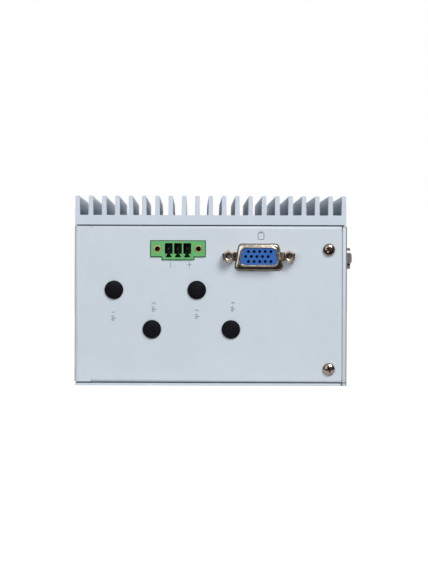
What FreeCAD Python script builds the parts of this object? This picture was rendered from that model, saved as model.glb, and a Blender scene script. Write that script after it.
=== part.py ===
import FreeCAD, Part
import math
import os

from FreeCAD import Placement, Rotation, Vector

# Fanless industrial computer: a folded sheet chassis under an extruded, finned heat sink.
#
# Frame: origin at the centre of the underside, +Z up through the fins, +Y along the fins, away from
# the end wall that carries the power header, the display socket and the antenna holes, and +X towards
# the port panel. Millimetres.

# ---- Driving dimensions ------------------------------------------------------------------------

LENGTH = 155.0              # chassis and heat sink, along the fins
CHASSIS_HEIGHT = 66.5       # underside of the cover to underside of the heat sink

# Heat sink
FIN_COUNT = 21
FIN_PITCH = 5.5
FIN_ROOT = 2.0              # fin thickness where it leaves the base
FIN_TIP = 1.78              # fin thickness at its top
FIN_HEIGHT = 8.0
FIN_ROUND = 0.35            # rounding along the top edges of a fin
ROOT_ROUND = 0.3            # rounding in the bottom corners of a channel
BASE_THICKNESS = 4.0

# Sheet metal
SHEET = 1.2                 # thickness of every folded piece and of the cover
BEND = 0.4                  # inner radius of a fold
FLANGE = 12.0               # width of a folded flange, from the outer face of its wall
EDGE_GAP = 0.45             # raw edge to the piece above or below it
CORNER_TAB = 7.0            # unfolded stretch beside each upright corner
RELIEF = 0.1                # slit between an unfolded corner and a flange
SEAM = 0.6                  # open joint between two sheets
WRAP_OVERHANG = 0.2         # left wall beyond the heat sink
PANEL_OVERHANG = 0.43       # port panel beyond the heat sink
COVER_INSET = 0.3           # cover inside the outline of the walls
PANEL_NECK = 0.4            # flat stretch of the port panel's end flange past its fold

# Fits
THREAD_PLAY = 0.02          # screw to tapped hole, on the radius
HOLE_PLAY = 0.2             # screw to clearance hole, on the radius
PORT_PLAY = 0.25            # connector to its cut-out
MOULD_PLAY = 0.05           # moulded insert to the shell round it

# Screws: radius of the thread, radius and height of the head
M25_RADIUS = 1.25
M25_HEAD_RADIUS = 2.5
M25_HEAD_HEIGHT = 1.8
M3_RADIUS = 1.5
M3_HEAD_RADIUS = 2.75
M3_HEAD_HEIGHT = 1.6
M4_RADIUS = 2.0
M4_TAP_RADIUS = 1.65        # wall of a tapped M4 hole
SUNK_HEAD_DEPTH = 1.0       # countersunk M3 head, 90 degrees
SUNK_M25_HEAD_DEPTH = 1.1   # countersunk M2.5 head, 90 degrees
BLIND_DEPTH = 3.2           # tapped holes in the heat sink
TIP_GAP = 0.2               # end of a thread to the bottom of its hole

# Pan heads, as shares of their radius or height
PAN_RIM = 0.45              # straight rim, of the height
PAN_CROWN_RADIUS = 0.7      # point that the crown's arc passes, of the radius
PAN_CROWN_HEIGHT = 0.82     # and of the height
RECESS_REACH = 0.52         # cross recess, of the radius
RECESS_ARM = 0.15           # half the width of an arm, of the radius
RECESS_DEPTH = 0.6          # of the height

# Clinch nuts
NUT_HEIGHT = 2.0
M25_NUT_RADIUS = 2.7
M3_NUT_RADIUS = 3.0
M4_NUT_RADIUS = 3.6
M4_NUT_HEIGHT = 3.0
NUT_SHANK = 0.6             # wall of the nut's collar that is pressed into the sheet

# Screw places
END_SCREW_INSET = 7.55      # from the outer face of the port panel
END_SCREW_RISE = 7.1        # lower screw, from the underside
END_SCREW_DROP = 10.1       # upper screw, from the heat sink
FLANGE_SCREW_INSET = 6.0    # from the outer face of the wall
END_FLANGE_SCREW_X = 30.0   # either side of the middle
SIDE_FLANGE_SCREW_Y = 35.0  # either side of the middle

# Rail bracket pattern on the left wall
RAIL_SPACING_Y = 60.0
RAIL_SPACING_Z = 30.0

# Main board
BOARD_THICKNESS = 1.6
BOARD_DROP = 5.1            # heat sink to the upper face of the board
BOARD_END_GAP = 0.5         # near edge to the port panel's end flange
BOARD_FAR_GAP = 12.1        # far edge to the outer face of the far end wall
BOARD_SIDE_GAP = 1.5        # right edge to the port panel
BOARD_LEFT_GAP = 7.9        # left edge to the outer face of the left wall
STANDOFF_FLATS = 5.0
STANDOFF_FLOOR = 0.5        # left above the bore
STANDOFF_LEFT_INSET = 8.3   # standoffs from the edges of the board
STANDOFF_RIGHT_INSET = 22.7
STANDOFF_NEAR_INSET = 17.6
STANDOFF_FAR_INSET = 9.4

# Processor and its heat path
PROCESSOR_X = -5.0
PROCESSOR_Y = 0.0
PROCESSOR_SIDE = 25.0
PROCESSOR_HEIGHT = 1.5
DIE_SIDE = 15.0
PAD_SIDE = 27.0
PAD_THICKNESS = 0.3
SPREADER_SIDE = 44.0
SPREADER_SCREW_INSET = 4.5

# Memory
MEMORY_X = -4.0
MEMORY_INSET = 35.4         # middle of the module to the far edge of the board
MEMORY_WIDTH = 67.6
MEMORY_LENGTH = 30.0
MEMORY_THICKNESS = 1.0
MEMORY_CHIPS = 4
MEMORY_CHIP_WIDTH = 11.2
MEMORY_CHIP_LENGTH = 13.5
MEMORY_CHIP_HEIGHT = 1.1
MEMORY_CHIP_PITCH = 15.4
MEMORY_CHIP_SHIFT = 2.0     # chips towards the module's free edge
MEMORY_ARM = 2.4            # width of a latch arm
MEMORY_DROP = 3.4           # board to the upper face of the module
MEMORY_SOCKET_HEIGHT = 5.2
MEMORY_SOCKET_DEPTH = 6.5

# Clock battery
CELL_X = -28.0
CELL_INSET = 44.6           # middle of the cell to the near edge of the board
CELL_RADIUS = 10.0
CELL_THICKNESS = 3.2
CELL_HOLDER_RADIUS = 11.6
CELL_HOLDER_HEIGHT = 4.6

# Storage drive on spacers on the cover
DRIVE_X = -2.0
DRIVE_WIDTH = 69.85
DRIVE_LENGTH = 100.2
DRIVE_HEIGHT = 7.0
DRIVE_HOLE_INSET = 4.07     # from the sides
DRIVE_HOLE_SPACING = 76.6
DRIVE_HOLE_SETBACK = 14.0   # from the connector end to the nearer holes
DRIVE_THREAD = 2.6          # thread that enters the drive
DRIVE_EDGE_ROUND = 3.0
SPACER_HEIGHT = 4.0
SPACER_RADIUS = 3.0

# Drive cable
CABLE_PLUG_WIDTH = 40.0
CABLE_PLUG_DEPTH = 8.0
CABLE_PLUG_HEIGHT = 5.6
CABLE_BEND = 8.0            # middle of the band
CABLE_THICKNESS = 1.6
DATA_BAND_WIDTH = 8.0
POWER_BAND_WIDTH = 11.0
DATA_BAND_X = -12.0
POWER_BAND_X = 8.0
CABLE_RUN = 2.0             # straight stretch behind the drive plug
CABLE_INSET = 3.3           # middle of the upright bands to the far edge of the board
SOCKET_HEIGHT = 8.5
SOCKET_DEPTH = 6.0
TOP_PLUG_HEIGHT = 10.0
TOP_PLUG_OVERLAP = 1.5      # plug wider than its band, each side

# Power header, three poles between threaded flanges
HEADER_X = -13.5
HEADER_PITCH = 3.81
HEADER_POLES = 3
HEADER_HEIGHT = 6.4
HEADER_DEPTH = 10.0
HEADER_PROUD = 0.8          # face beyond the end wall
HEADER_SIDE = 2.75          # flange beyond the middle of its thread
INSERT_OFFSET = 4.65        # outer pole to the middle of the flange's thread
INSERT_DROP = 3.3           # board to the middle of the thread
INSERT_RADIUS = 1.55
INSERT_TAP_RADIUS = 1.035
INSERT_LENGTH = 6.0
KEY_WIDTH = 13.0            # ribbed part below the poles
KEY_DROP = 1.25
CELL_WIDTH = 3.2
CELL_HEIGHT = 4.4
CELL_TOP_DROP = 0.9         # header top to the top of a pole's cavity
CELL_DEPTH = 7.4
KEYWAY_NECK = 1.05
KEYWAY_BASE = 2.7
KEYWAY_DEPTH = 1.45
POLE_PIN = 0.9              # square pin
POLE_PIN_SETBACK = 3.0      # tip behind the face

# D-shaped connectors: a display socket and a serial port
DISPLAY_X = 19.86
DSUB_DROP = 6.35            # board to the middle of the connector
DSUB_SCREW_SPACING = 24.99
DSUB_PLATE_WIDTH = 30.8
DSUB_PLATE_HEIGHT = 12.5
DSUB_PLATE = 0.8
DSUB_BUMP_WIDTH = 20.2
DSUB_BUMP_HEIGHT = 10.8
DSUB_BUMP_SAG = 0.3         # middle of the raised D below the middle of the rim
DSUB_BUMP_PROUD = 0.7
DSUB_BUMP_ROUND = 1.9
DSUB_BUMP_SOFT = 0.6
DSUB_PROUD = 4.9
DSUB_ROUND = 2.2
DSUB_WALL = 0.45
DSUB_SLANT = 10.0           # degrees
DSUB_SLOT = 3.5             # height of the cut-out towards each jackscrew
DSUB_BLOCK_WIDTH = 17.0
DSUB_BLOCK_DEPTH = 8.6
DSUB_BLOCK_BELOW = 5.2
DSUB_FACE_SETBACK = 0.4     # socket face behind the shell's rim
LEAD = 0.6                  # square lead
LEAD_REACH = 1.0            # block to the first row of leads, with one step more
LEAD_STEP = 1.6             # one row of leads to the next

DISPLAY_WIDTH = 16.9
DISPLAY_HEIGHT = 7.75
DISPLAY_COLUMNS = 5
DISPLAY_ROWS = 3
DISPLAY_PITCH = 2.3
DISPLAY_ROW_PITCH = 2.04
DISPLAY_SHIFT = 0.3         # outer rows off the middle of the socket
DISPLAY_HOLE_RADIUS = 0.6
DISPLAY_HOLE_DEPTH = 5.0

SERIAL_Y = 6.0              # from the middle of the chassis
SERIAL_WIDTH = 17.9
SERIAL_HEIGHT = 9.3
SERIAL_PITCH = 2.77
SERIAL_ROW_PITCH = 2.84
SERIAL_PIN_RADIUS = 0.5
SERIAL_PIN_SETBACK = 0.7    # pin tip behind the shell's rim
SERIAL_FLOOR = 0.9          # moulded floor beyond the panel

JACK_FLATS = 4.75
JACK_LENGTH = 5.3
JACK_STUD_RADIUS = 1.4
JACK_STUD_LENGTH = 3.4
JACK_TAP_RADIUS = 1.12
JACK_TAP_DEPTH = 4.4
JACK_CHAMFER = 0.5

# Antenna holes and their plugs, places on the end wall as (x, z)
ANTENNA_HOLES = ((-39.9, 39.6), (-24.2, 23.35), (-5.7, 39.6), (8.45, 23.35))
ANTENNA_HOLE_RADIUS = 3.25
PLUG_HEAD_RADIUS = 3.85
PLUG_HEAD_HEIGHT = 1.7
PLUG_RIM = 0.35
PLUG_WALL = 0.9
PLUG_BARB = 0.3
PLUG_DEPTH = 2.6            # behind the wall
PLUG_PLAY = 0.05

# Network jacks, upside down under the board
LAN_OFFSETS = (13.5, 32.0)  # from the near end
LAN_WIDTH = 16.0
LAN_HEIGHT = 13.4
LAN_DEPTH = 21.0
LAN_CAVITY_WIDTH = 11.9
LAN_CAVITY_HEIGHT = 6.9
LAN_CAVITY_DEPTH = 14.5
LAN_SILL = 2.6              # below the cavity
LAN_STEP_WIDTH = 6.2
LAN_STEP = 1.3
LAN_LATCH_WIDTH = 3.4
LAN_LATCH = 1.1
LAN_CONTACTS = 8
LAN_CONTACT_PITCH = 1.02
LAN_CONTACT_WIDTH = 0.4
LAN_CONTACT_RISE = 1.8
LAN_CONTACT_LENGTH = 9.0
LAN_LIGHT_WIDTH = 2.6
LAN_LIGHT_HEIGHT = 1.6
LAN_LIGHT_DEPTH = 2.0
LAN_LIGHT_RISE = 0.5        # from the lower edge of the jack
LAN_LIGHT_INSET = 0.6       # from its side
PORT_PROUD = 0.15           # flush ports beyond the panel

# Double USB ports
USB_OFFSET = 48.9           # first one, from the near end
USB_FAR_INSET = 27.5        # second one, from the far edge of the board
USB_WIDTH = 13.2
USB_HEIGHT = 15.6
USB_DEPTH = 17.4
USB_WALL = 0.4
USB_CAVITY_HEIGHT = 5.1
USB_CAVITY_DEPTH = 12.0
USB_TONGUE_SIDE = 0.65      # cavity wall to the tongue
USB_TONGUE_THICKNESS = 1.9
USB_TONGUE_GAP = 0.7
USB_TONGUE_SETBACK = 2.4

# Power button and status lights
BUTTON_INSET = 15.5         # from the far edge of the board
BUTTON_RADIUS = 3.0
BUTTON_PROUD = 1.3
BUTTON_ROUND = 0.4          # rounding of the cap's edge
BUTTON_COLLAR_RADIUS = 4.0
BUTTON_COLLAR = 1.2
BUTTON_TRAVEL = 0.8
BUTTON_STOP_GAP = 0.1       # collar to the back of the panel
BUTTON_HOLE_PLAY = 0.15
BUTTON_STEM_RADIUS = 1.2
BUTTON_STEM_PLAY = 0.08
BUTTON_STEM_ENTRY = 1.2     # stem inside the switch at rest
BUTTON_BACK_GAP = 0.4       # collar to the switch when pressed
SWITCH_SIDE = 7.0
SWITCH_DEPTH = 6.0
LIGHT_COUNT = 3
LIGHT_INSET = 1.9           # last light from the far edge of the board
LIGHT_PITCH = 3.5
LIGHT_RADIUS = 1.0
LIGHT_PROUD = 0.4
LIGHT_PLAY = 0.1
LIGHT_HOLDER_SIDE = 1.6     # holder beyond the outer lights
LIGHT_HOLDER_HEIGHT = 3.6
LIGHT_HOLDER_DEPTH = 6.0
LIGHT_HOLDER_GAP = 1.6      # panel to the holder

# ---- Places that follow from them --------------------------------------------------------------

SINK_WIDTH = (FIN_COUNT - 1) * FIN_PITCH + FIN_ROOT
FOLD = SHEET + BEND
X_LEFT = -SINK_WIDTH / 2 - WRAP_OVERHANG
X_RIGHT = SINK_WIDTH / 2 + PANEL_OVERHANG
Y_NEAR = -LENGTH / 2
Y_FAR = LENGTH / 2
WALL_EDGE = X_RIGHT - FOLD - SEAM
PANEL_END = LENGTH / 2 - SHEET
RAW_LOW = SHEET + EDGE_GAP
RAW_HIGH = CHASSIS_HEIGHT - EDGE_GAP
FOLD_LOW = SHEET + FOLD
FOLD_HIGH = CHASSIS_HEIGHT - FOLD
PANEL_FLANGE_HALF = LENGTH / 2 - FLANGE - CORNER_TAB / 2
END_SCREW_X = X_RIGHT - END_SCREW_INSET
END_SCREW_HEIGHTS = (END_SCREW_RISE, CHASSIS_HEIGHT - END_SCREW_DROP)
THREAD_LENGTH = BLIND_DEPTH - TIP_GAP
SUNK_HEAD_RADIUS = M3_RADIUS + SUNK_HEAD_DEPTH
SUNK_M25_HEAD_RADIUS = M25_RADIUS + SUNK_M25_HEAD_DEPTH

BOARD_TOP = CHASSIS_HEIGHT - BOARD_DROP
BOARD_Z = BOARD_TOP - BOARD_THICKNESS
BOARD_LEFT = X_LEFT + BOARD_LEFT_GAP
BOARD_RIGHT = X_RIGHT - SHEET - BOARD_SIDE_GAP
BOARD_NEAR = Y_NEAR + 2 * SHEET + BOARD_END_GAP
BOARD_FAR = Y_FAR - BOARD_FAR_GAP
STANDOFFS = [(x, y) for x in (BOARD_LEFT + STANDOFF_LEFT_INSET, BOARD_RIGHT - STANDOFF_RIGHT_INSET)
             for y in (BOARD_NEAR + STANDOFF_NEAR_INSET, BOARD_FAR - STANDOFF_FAR_INSET)]
DSUB_Z = BOARD_Z - DSUB_DROP
LAN_YS = [Y_NEAR + offset for offset in LAN_OFFSETS]
USB_YS = (Y_NEAR + USB_OFFSET, BOARD_FAR - USB_FAR_INSET)
BUTTON_Y = BOARD_FAR - BUTTON_INSET
MEMORY_Y = BOARD_FAR - MEMORY_INSET
CELL_Y = BOARD_NEAR + CELL_INSET
SPREADER_THICKNESS = BOARD_DROP - PROCESSOR_HEIGHT - PAD_THICKNESS
CABLE_Y = BOARD_FAR - CABLE_INSET
DRIVE_BACK = CABLE_Y - CABLE_BEND - CABLE_RUN - CABLE_PLUG_DEPTH
DRIVE_Z = SHEET + SPACER_HEIGHT

DIAGONAL = math.sqrt(0.5)   # sine and cosine of 45 degrees
X_AXIS = Vector(1, 0, 0)
Y_AXIS = Vector(0, 1, 0)
Z_AXIS = Vector(0, 0, 1)


# ---- Plain shapes ------------------------------------------------------------------------------

def box(x0, x1, y0, y1, z0, z1):
    """Block between two corners."""
    return Part.makeBox(x1 - x0, y1 - y0, z1 - z0, Vector(x0, y0, z0))


def rod(radius, x, y, z0, z1):
    """Upright round bar from z0 to z1."""
    return Part.makeCylinder(radius, z1 - z0, Vector(x, y, z0))


def outline(start, *steps):
    """Closed planar face. A step is a point, or a pair (middle, end) for an arc."""
    edges, here = [], start
    for step in steps + (start,):
        if isinstance(step, tuple):
            middle, end = step
            edges.append(Part.Arc(here, middle, end).toShape())
        else:
            end = step
            edges.append(Part.LineSegment(here, end).toShape())
        here = end
    return Part.Face(Part.Wire(edges))


def upright_edges(solid):
    """Edges of an extruded solid that run along Z."""
    return [edge for edge in solid.Edges if abs(edge.tangentAt(edge.FirstParameter).z) > 0.99]


def prism(points, z0, z1, radius=0.0):
    """Polygon extruded from z0 to z1, with its upright edges rounded."""
    corners = [Vector(x, y, z0) for x, y in points]
    solid = Part.Face(Part.makePolygon(corners + corners[:1])).extrude(Vector(0, 0, z1 - z0))
    return solid.makeFillet(radius, upright_edges(solid)) if radius else solid


def turned(x, y, *profile):
    """Solid turned about the upright axis through (x, y), from (radius, z) steps."""
    def place(step):
        if isinstance(step[0], tuple):
            return tuple(place(point) for point in step)
        return Vector(step[0], 0, step[1])

    solid = outline(*[place(step) for step in profile]).revolve(Vector(), Z_AXIS, 360)
    solid.translate(Vector(x, y, 0))
    return solid


def hexagon(flats, x, y, z0, z1):
    """Upright hexagonal bar, a corner towards +Y."""
    reach = flats / math.sqrt(3)
    turns = [math.radians(60 * step + 30) for step in range(6)]
    return prism([(x + reach * math.cos(t), y + reach * math.sin(t)) for t in turns], z0, z1)


def fused(shapes):
    """One solid from shapes that meet."""
    first, *rest = shapes
    return first.multiFuse(rest).removeSplitter() if rest else first


def group(shapes):
    """Separate solids that share one node."""
    return Part.makeCompound(shapes)


def on_end(x, z):
    """Local frame on the near end wall: x right, y up, z out of the wall."""
    return Placement(Vector(x, Y_NEAR, z), Rotation(X_AXIS, Z_AXIS, -Y_AXIS, "XYZ"))


def on_far_end(x, z):
    """Local frame on the far end wall: x left, y up, z out of the wall."""
    return Placement(Vector(x, Y_FAR, z), Rotation(-X_AXIS, Z_AXIS, Y_AXIS, "XYZ"))


def on_panel(y, z):
    """Local frame on the port panel: x along +Y, y up, z out of the panel."""
    return Placement(Vector(X_RIGHT, y, z), Rotation(Y_AXIS, Z_AXIS, X_AXIS, "XYZ"))


def on_left(y, z):
    """Local frame on the left wall: x along -Y, y up, z out of the wall."""
    return Placement(Vector(X_LEFT, y, z), Rotation(-Y_AXIS, Z_AXIS, -X_AXIS, "XYZ"))


def placed(shape, placement):
    """Copy of a shape made in a local frame, in the part's frame."""
    return shape.transformed(placement.toMatrix(), True)


# ---- Screws and nuts ---------------------------------------------------------------------------

def pan_screw(radius, head_radius, head_height, length, recess=False):
    """Pan head on the local plane z = 0, with its thread below."""
    rim = head_height * PAN_RIM
    crown = (head_radius * PAN_CROWN_RADIUS, head_height * PAN_CROWN_HEIGHT)
    screw = turned(
        0, 0, (0, head_height), (crown, (head_radius, rim)),
        (head_radius, 0), (radius, 0), (radius, -length), (0, -length))
    if recess:
        reach, width = head_radius * RECESS_REACH, head_radius * RECESS_ARM
        depth = head_height * RECESS_DEPTH
        arms = [box(-reach, reach, -width, width, head_height - depth, head_height),
                box(-width, width, -reach, reach, head_height - depth, head_height)]
        screw = screw.cut(fused(arms))
    return screw


def cheese_screw(radius, head_radius, head_height, length):
    """Plain cylindrical head on the local plane z = 0, with its thread below."""
    return fused([rod(head_radius, 0, 0, 0, head_height), rod(radius, 0, 0, -length, 0)])


def sunk_screw(radius, head_radius, length):
    """Countersunk head flush with the local plane z = 0, thread upwards."""
    sink = head_radius - radius
    return turned(0, 0, (0, 0), (head_radius, 0), (radius, sink), (radius, length), (0, length))


def sunk_hole(radius, head_radius, depth):
    """Cutter for a countersunk screw in a sheet that lies on the local plane z = 0."""
    play = MOULD_PLAY
    sink = head_radius - radius
    return turned(
        0, 0, (0, 0), (head_radius + play, 0), (radius + play, sink), (radius + HOLE_PLAY, sink),
        (radius + HOLE_PLAY, depth), (0, depth))


def clinch_nut(bore, radius, height, collar):
    """Nut on the local plane z = 0 with its collar pressed down into the sheet."""
    body = fused([rod(radius, 0, 0, 0, height), rod(bore + NUT_SHANK, 0, 0, -collar, 0)])
    return body.cut(rod(bore, 0, 0, -collar, height))


# ---- Folded sheet ------------------------------------------------------------------------------

def folded_flange(start, end, inward):
    """Fold and flange along an edge, from start to end on the sharp corner of the outer faces.

    The direction from start to end, the flange's direction and the normal of its outer face are
    right-handed, in this order.
    """
    along = (end - start).normalize()
    face = outline(
        Vector(0, 0, -FOLD),
        (Vector(0, FOLD * (1 - DIAGONAL), -FOLD * (1 - DIAGONAL)), Vector(0, FOLD, 0)),
        Vector(0, FLANGE, 0), Vector(0, FLANGE, -SHEET), Vector(0, FOLD, -SHEET),
        (Vector(0, FOLD - BEND * DIAGONAL, -FOLD + BEND * DIAGONAL),
         Vector(0, SHEET, -FOLD)))
    strip = face.extrude(Vector((end - start).Length, 0, 0))
    turn = Rotation(along, inward, along.cross(inward), "XYZ")
    return placed(strip, Placement(start, turn))


def folded_channel(x_open, x_wall, half, z0, z1):
    """Wall at x_wall with a return at each end, upright, between y = -half and half.

    x_wall is the outer face of the wall, and the returns run from it to x_open.
    """
    side = math.copysign(1, x_open - x_wall)
    arc = 1 - DIAGONAL
    bend = BEND * DIAGONAL
    x_fold, x_inner = x_wall + side * FOLD, x_wall + side * SHEET

    def at(x, y):
        return Vector(x, y, z0)

    face = outline(
        at(x_open, -half), at(x_fold, -half),
        (at(x_wall + side * FOLD * arc, -half + FOLD * arc), at(x_wall, -half + FOLD)),
        at(x_wall, half - FOLD),
        (at(x_wall + side * FOLD * arc, half - FOLD * arc), at(x_fold, half)),
        at(x_open, half), at(x_open, half - SHEET), at(x_fold, half - SHEET),
        (at(x_fold - side * bend, half - FOLD + bend), at(x_inner, half - FOLD)),
        at(x_inner, -half + FOLD),
        (at(x_fold - side * bend, -half + FOLD - bend), at(x_fold, -half + SHEET)),
        at(x_open, -half + SHEET))
    return face.extrude(Vector(0, 0, z1 - z0))


# ---- Heat sink ---------------------------------------------------------------------------------

def sink_profile():
    """Cross-section of the extrusion: a base with drafted, softly topped fins."""
    z_base = CHASSIS_HEIGHT
    z_root = z_base + BASE_THICKNESS
    z_top = z_root + FIN_HEIGHT
    half = SINK_WIDTH / 2
    arc = 1 - DIAGONAL

    def at(x, z):
        return Vector(x, Y_NEAR, z)

    steps = [at(half, z_base)]
    for index in range(FIN_COUNT):
        middle = half - FIN_ROOT / 2 - index * FIN_PITCH
        for side in (1, -1):
            root, tip = middle + side * FIN_ROOT / 2, middle + side * FIN_TIP / 2
            outer = (index == 0 and side == 1) or (index == FIN_COUNT - 1 and side == -1)
            low = [at(root, z_root)] if outer else [
                at(root + side * ROOT_ROUND, z_root),
                (at(root + side * ROOT_ROUND * arc, z_root + ROOT_ROUND * arc),
                 at(root, z_root + ROOT_ROUND))]
            high = [at(tip, z_top - FIN_ROUND),
                    (at(tip - side * FIN_ROUND * arc, z_top - FIN_ROUND * arc),
                     at(tip - side * FIN_ROUND, z_top))]
            steps += low + high if side == 1 else mirrored(high) + mirrored(low)
    return outline(at(-half, z_base), *steps)


def mirrored(steps):
    """The same stretch of an outline, walked the other way."""
    points = [step[-1] if isinstance(step, tuple) else step for step in steps]
    walked = [points[-1]]
    for index in range(len(steps) - 1, 0, -1):
        step = steps[index]
        walked.append((step[0], points[index - 1]) if isinstance(step, tuple) else points[index - 1])
    return walked


def sink_screw_places():
    """Screws that hold the heat sink to the flanges, as (x, y)."""
    ends = [(x, y) for x in (-END_FLANGE_SCREW_X, END_FLANGE_SCREW_X)
            for y in (Y_NEAR + FLANGE_SCREW_INSET, Y_FAR - FLANGE_SCREW_INSET)]
    sides = [(x, y) for x in (X_LEFT + FLANGE_SCREW_INSET, X_RIGHT - FLANGE_SCREW_INSET)
             for y in (-SIDE_FLANGE_SCREW_Y, SIDE_FLANGE_SCREW_Y)]
    return ends + sides


def spreader_screw_places():
    """Screws at the corners of the heat spreader, as (x, y)."""
    reach = SPREADER_SIDE / 2 - SPREADER_SCREW_INSET
    return [(PROCESSOR_X + i * reach, PROCESSOR_Y + j * reach) for i in (-1, 1) for j in (-1, 1)]


def heat_sink():
    body = sink_profile().extrude(Vector(0, LENGTH, 0))
    z0, z1 = CHASSIS_HEIGHT, CHASSIS_HEIGHT + BLIND_DEPTH
    taps = [rod(M3_RADIUS + THREAD_PLAY, x, y, z0, z1) for x, y in sink_screw_places()]
    taps += [rod(M3_RADIUS + THREAD_PLAY, x, y, z0, z1) for x, y in STANDOFFS]
    taps += [rod(M25_RADIUS + THREAD_PLAY, x, y, z0, z1) for x, y in spreader_screw_places()]
    return body.cut(group(taps))


def heat_sink_screws():
    screw = cheese_screw(M3_RADIUS, M3_HEAD_RADIUS, M3_HEAD_HEIGHT, SHEET + THREAD_LENGTH)
    under = Rotation(X_AXIS, 180)
    return group([placed(screw, Placement(Vector(x, y, CHASSIS_HEIGHT - SHEET), under))
                  for x, y in sink_screw_places()])


# ---- Chassis -----------------------------------------------------------------------------------

def wrap_flanges():
    """Flanges of the wrap and the windows that make room for them, above and below each wall."""
    tab = CORNER_TAB + RELIEF
    left, right = X_LEFT + tab, WALL_EDGE
    near, far = Y_NEAR + tab, Y_FAR - tab
    flanges, windows = [], []
    for z, up in ((CHASSIS_HEIGHT, 1), (SHEET, -1)):
        runs = ((Vector(left, Y_NEAR, z), Vector(right, Y_NEAR, z), Y_AXIS),
                (Vector(right, Y_FAR, z), Vector(left, Y_FAR, z), -Y_AXIS),
                (Vector(X_LEFT, far, z), Vector(X_LEFT, near, z), X_AXIS))
        for start, end, inward in runs:
            ends = (start, end) if up > 0 else (end, start)
            flanges.append(folded_flange(*ends, inward))
        low, high = (FOLD_HIGH, CHASSIS_HEIGHT) if up > 0 else (SHEET, FOLD_LOW)
        wall_left, wall_right = left - RELIEF, right + RELIEF
        windows += [box(wall_left, wall_right, Y_NEAR, Y_NEAR + SHEET, low, high),
                    box(wall_left, wall_right, Y_FAR - SHEET, Y_FAR, low, high),
                    box(X_LEFT, X_LEFT + SHEET, near - RELIEF, far + RELIEF, low, high)]
    return flanges, windows


def flange_corner_cutters():
    """Mitre-free clearance: the side flanges stop short of the end flanges."""
    reach = FLANGE + SEAM
    return [box(X_LEFT, X_LEFT + FLANGE, y0, y1, z0, z1)
            for y0, y1 in ((Y_NEAR, Y_NEAR + reach), (Y_FAR - reach, Y_FAR))
            for z0, z1 in ((SHEET, FOLD_LOW), (FOLD_HIGH, CHASSIS_HEIGHT))]


def header_outline(grow, z0, z1):
    """Face of the power header in its local frame, y = 0 at the board."""
    half, key = header_half_width() + grow, KEY_WIDTH / 2 + grow
    low, lower = -HEADER_HEIGHT - grow, -HEADER_HEIGHT - KEY_DROP - grow
    return prism([(-half, low), (-key, low), (-key, lower), (key, lower), (key, low), (half, low),
                  (half, grow), (-half, grow)], z0, z1)


def header_half_width():
    """Middle of the header to the end of a flange."""
    return (HEADER_POLES - 1) * HEADER_PITCH / 2 + INSERT_OFFSET + HEADER_SIDE


def d_shape(width, height, z0, z1, radius):
    """D-shaped prism, wide side down, centred on the local origin."""
    draw = height * math.tan(math.radians(DSUB_SLANT))
    wide, narrow = width / 2, width / 2 - draw
    return prism([(-wide, -height / 2), (wide, -height / 2), (narrow, height / 2),
                  (-narrow, height / 2)], z0, z1, radius)


def dsub_cutout():
    """Opening for the raised D and a slot towards each jackscrew."""
    reach, slot = DSUB_SCREW_SPACING / 2, DSUB_SLOT / 2
    shape = d_shape(DSUB_BUMP_WIDTH + 2 * PORT_PLAY, DSUB_BUMP_HEIGHT + 2 * PORT_PLAY,
                    -SHEET, 0, DSUB_BUMP_ROUND)
    shape.translate(Vector(0, -DSUB_BUMP_SAG, 0))
    return fused([shape, box(-reach, reach, -slot, slot, -SHEET, 0),
                  rod(slot, -reach, 0, -SHEET, 0), rod(slot, reach, 0, -SHEET, 0)])


def chassis_wrap():
    """Left wall and both end walls, folded from one sheet."""
    walls = folded_channel(WALL_EDGE, X_LEFT, LENGTH / 2, RAW_LOW, RAW_HIGH)
    flanges, windows = wrap_flanges()
    sheet = fused([walls.cut(group(windows))] + flanges[:2] + flanges[3:5])
    sides = [flange.cut(group(flange_corner_cutters())) for flange in (flanges[2], flanges[5])]
    sheet = fused([sheet] + sides)

    holes = [placed(header_outline(PORT_PLAY, -SHEET, 0), on_end(HEADER_X, BOARD_Z)),
             placed(dsub_cutout(), on_end(DISPLAY_X, DSUB_Z))]
    holes += [placed(rod(ANTENNA_HOLE_RADIUS, 0, 0, -SHEET, 0), on_end(x, z))
              for x, z in ANTENNA_HOLES]
    screw_hole = rod(M25_RADIUS + HOLE_PLAY, 0, 0, -SHEET, 0)
    holes += [placed(screw_hole, side(END_SCREW_X, z))
              for side in (on_end, on_far_end) for z in END_SCREW_HEIGHTS]
    holes += [placed(rod(M4_TAP_RADIUS + NUT_SHANK, 0, 0, -SHEET, 0), on_left(y, z))
              for y, z in rail_places()]
    holes += [rod(M3_RADIUS + HOLE_PLAY, x, y, CHASSIS_HEIGHT - SHEET, CHASSIS_HEIGHT)
              for x, y in sink_screw_places()]
    holes += [rod(M3_RADIUS + THREAD_PLAY + NUT_SHANK, x, y, SHEET, 2 * SHEET)
              for x, y in cover_screw_places()]
    return sheet.cut(group(holes))


def rail_places():
    """Threads for the rail bracket on the left wall, as (y, z)."""
    middle = CHASSIS_HEIGHT / 2
    return [(i * RAIL_SPACING_Y / 2, middle + j * RAIL_SPACING_Z / 2)
            for i in (-1, 1) for j in (-1, 1)]


def cover_screw_places():
    """Screws of the cover, as (x, y)."""
    ends = [(x, y) for x in (-END_FLANGE_SCREW_X, END_FLANGE_SCREW_X)
            for y in (Y_NEAR + FLANGE_SCREW_INSET, Y_FAR - FLANGE_SCREW_INSET)]
    return ends + [(X_LEFT + FLANGE_SCREW_INSET, y)
                   for y in (-SIDE_FLANGE_SCREW_Y, SIDE_FLANGE_SCREW_Y)]


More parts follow.
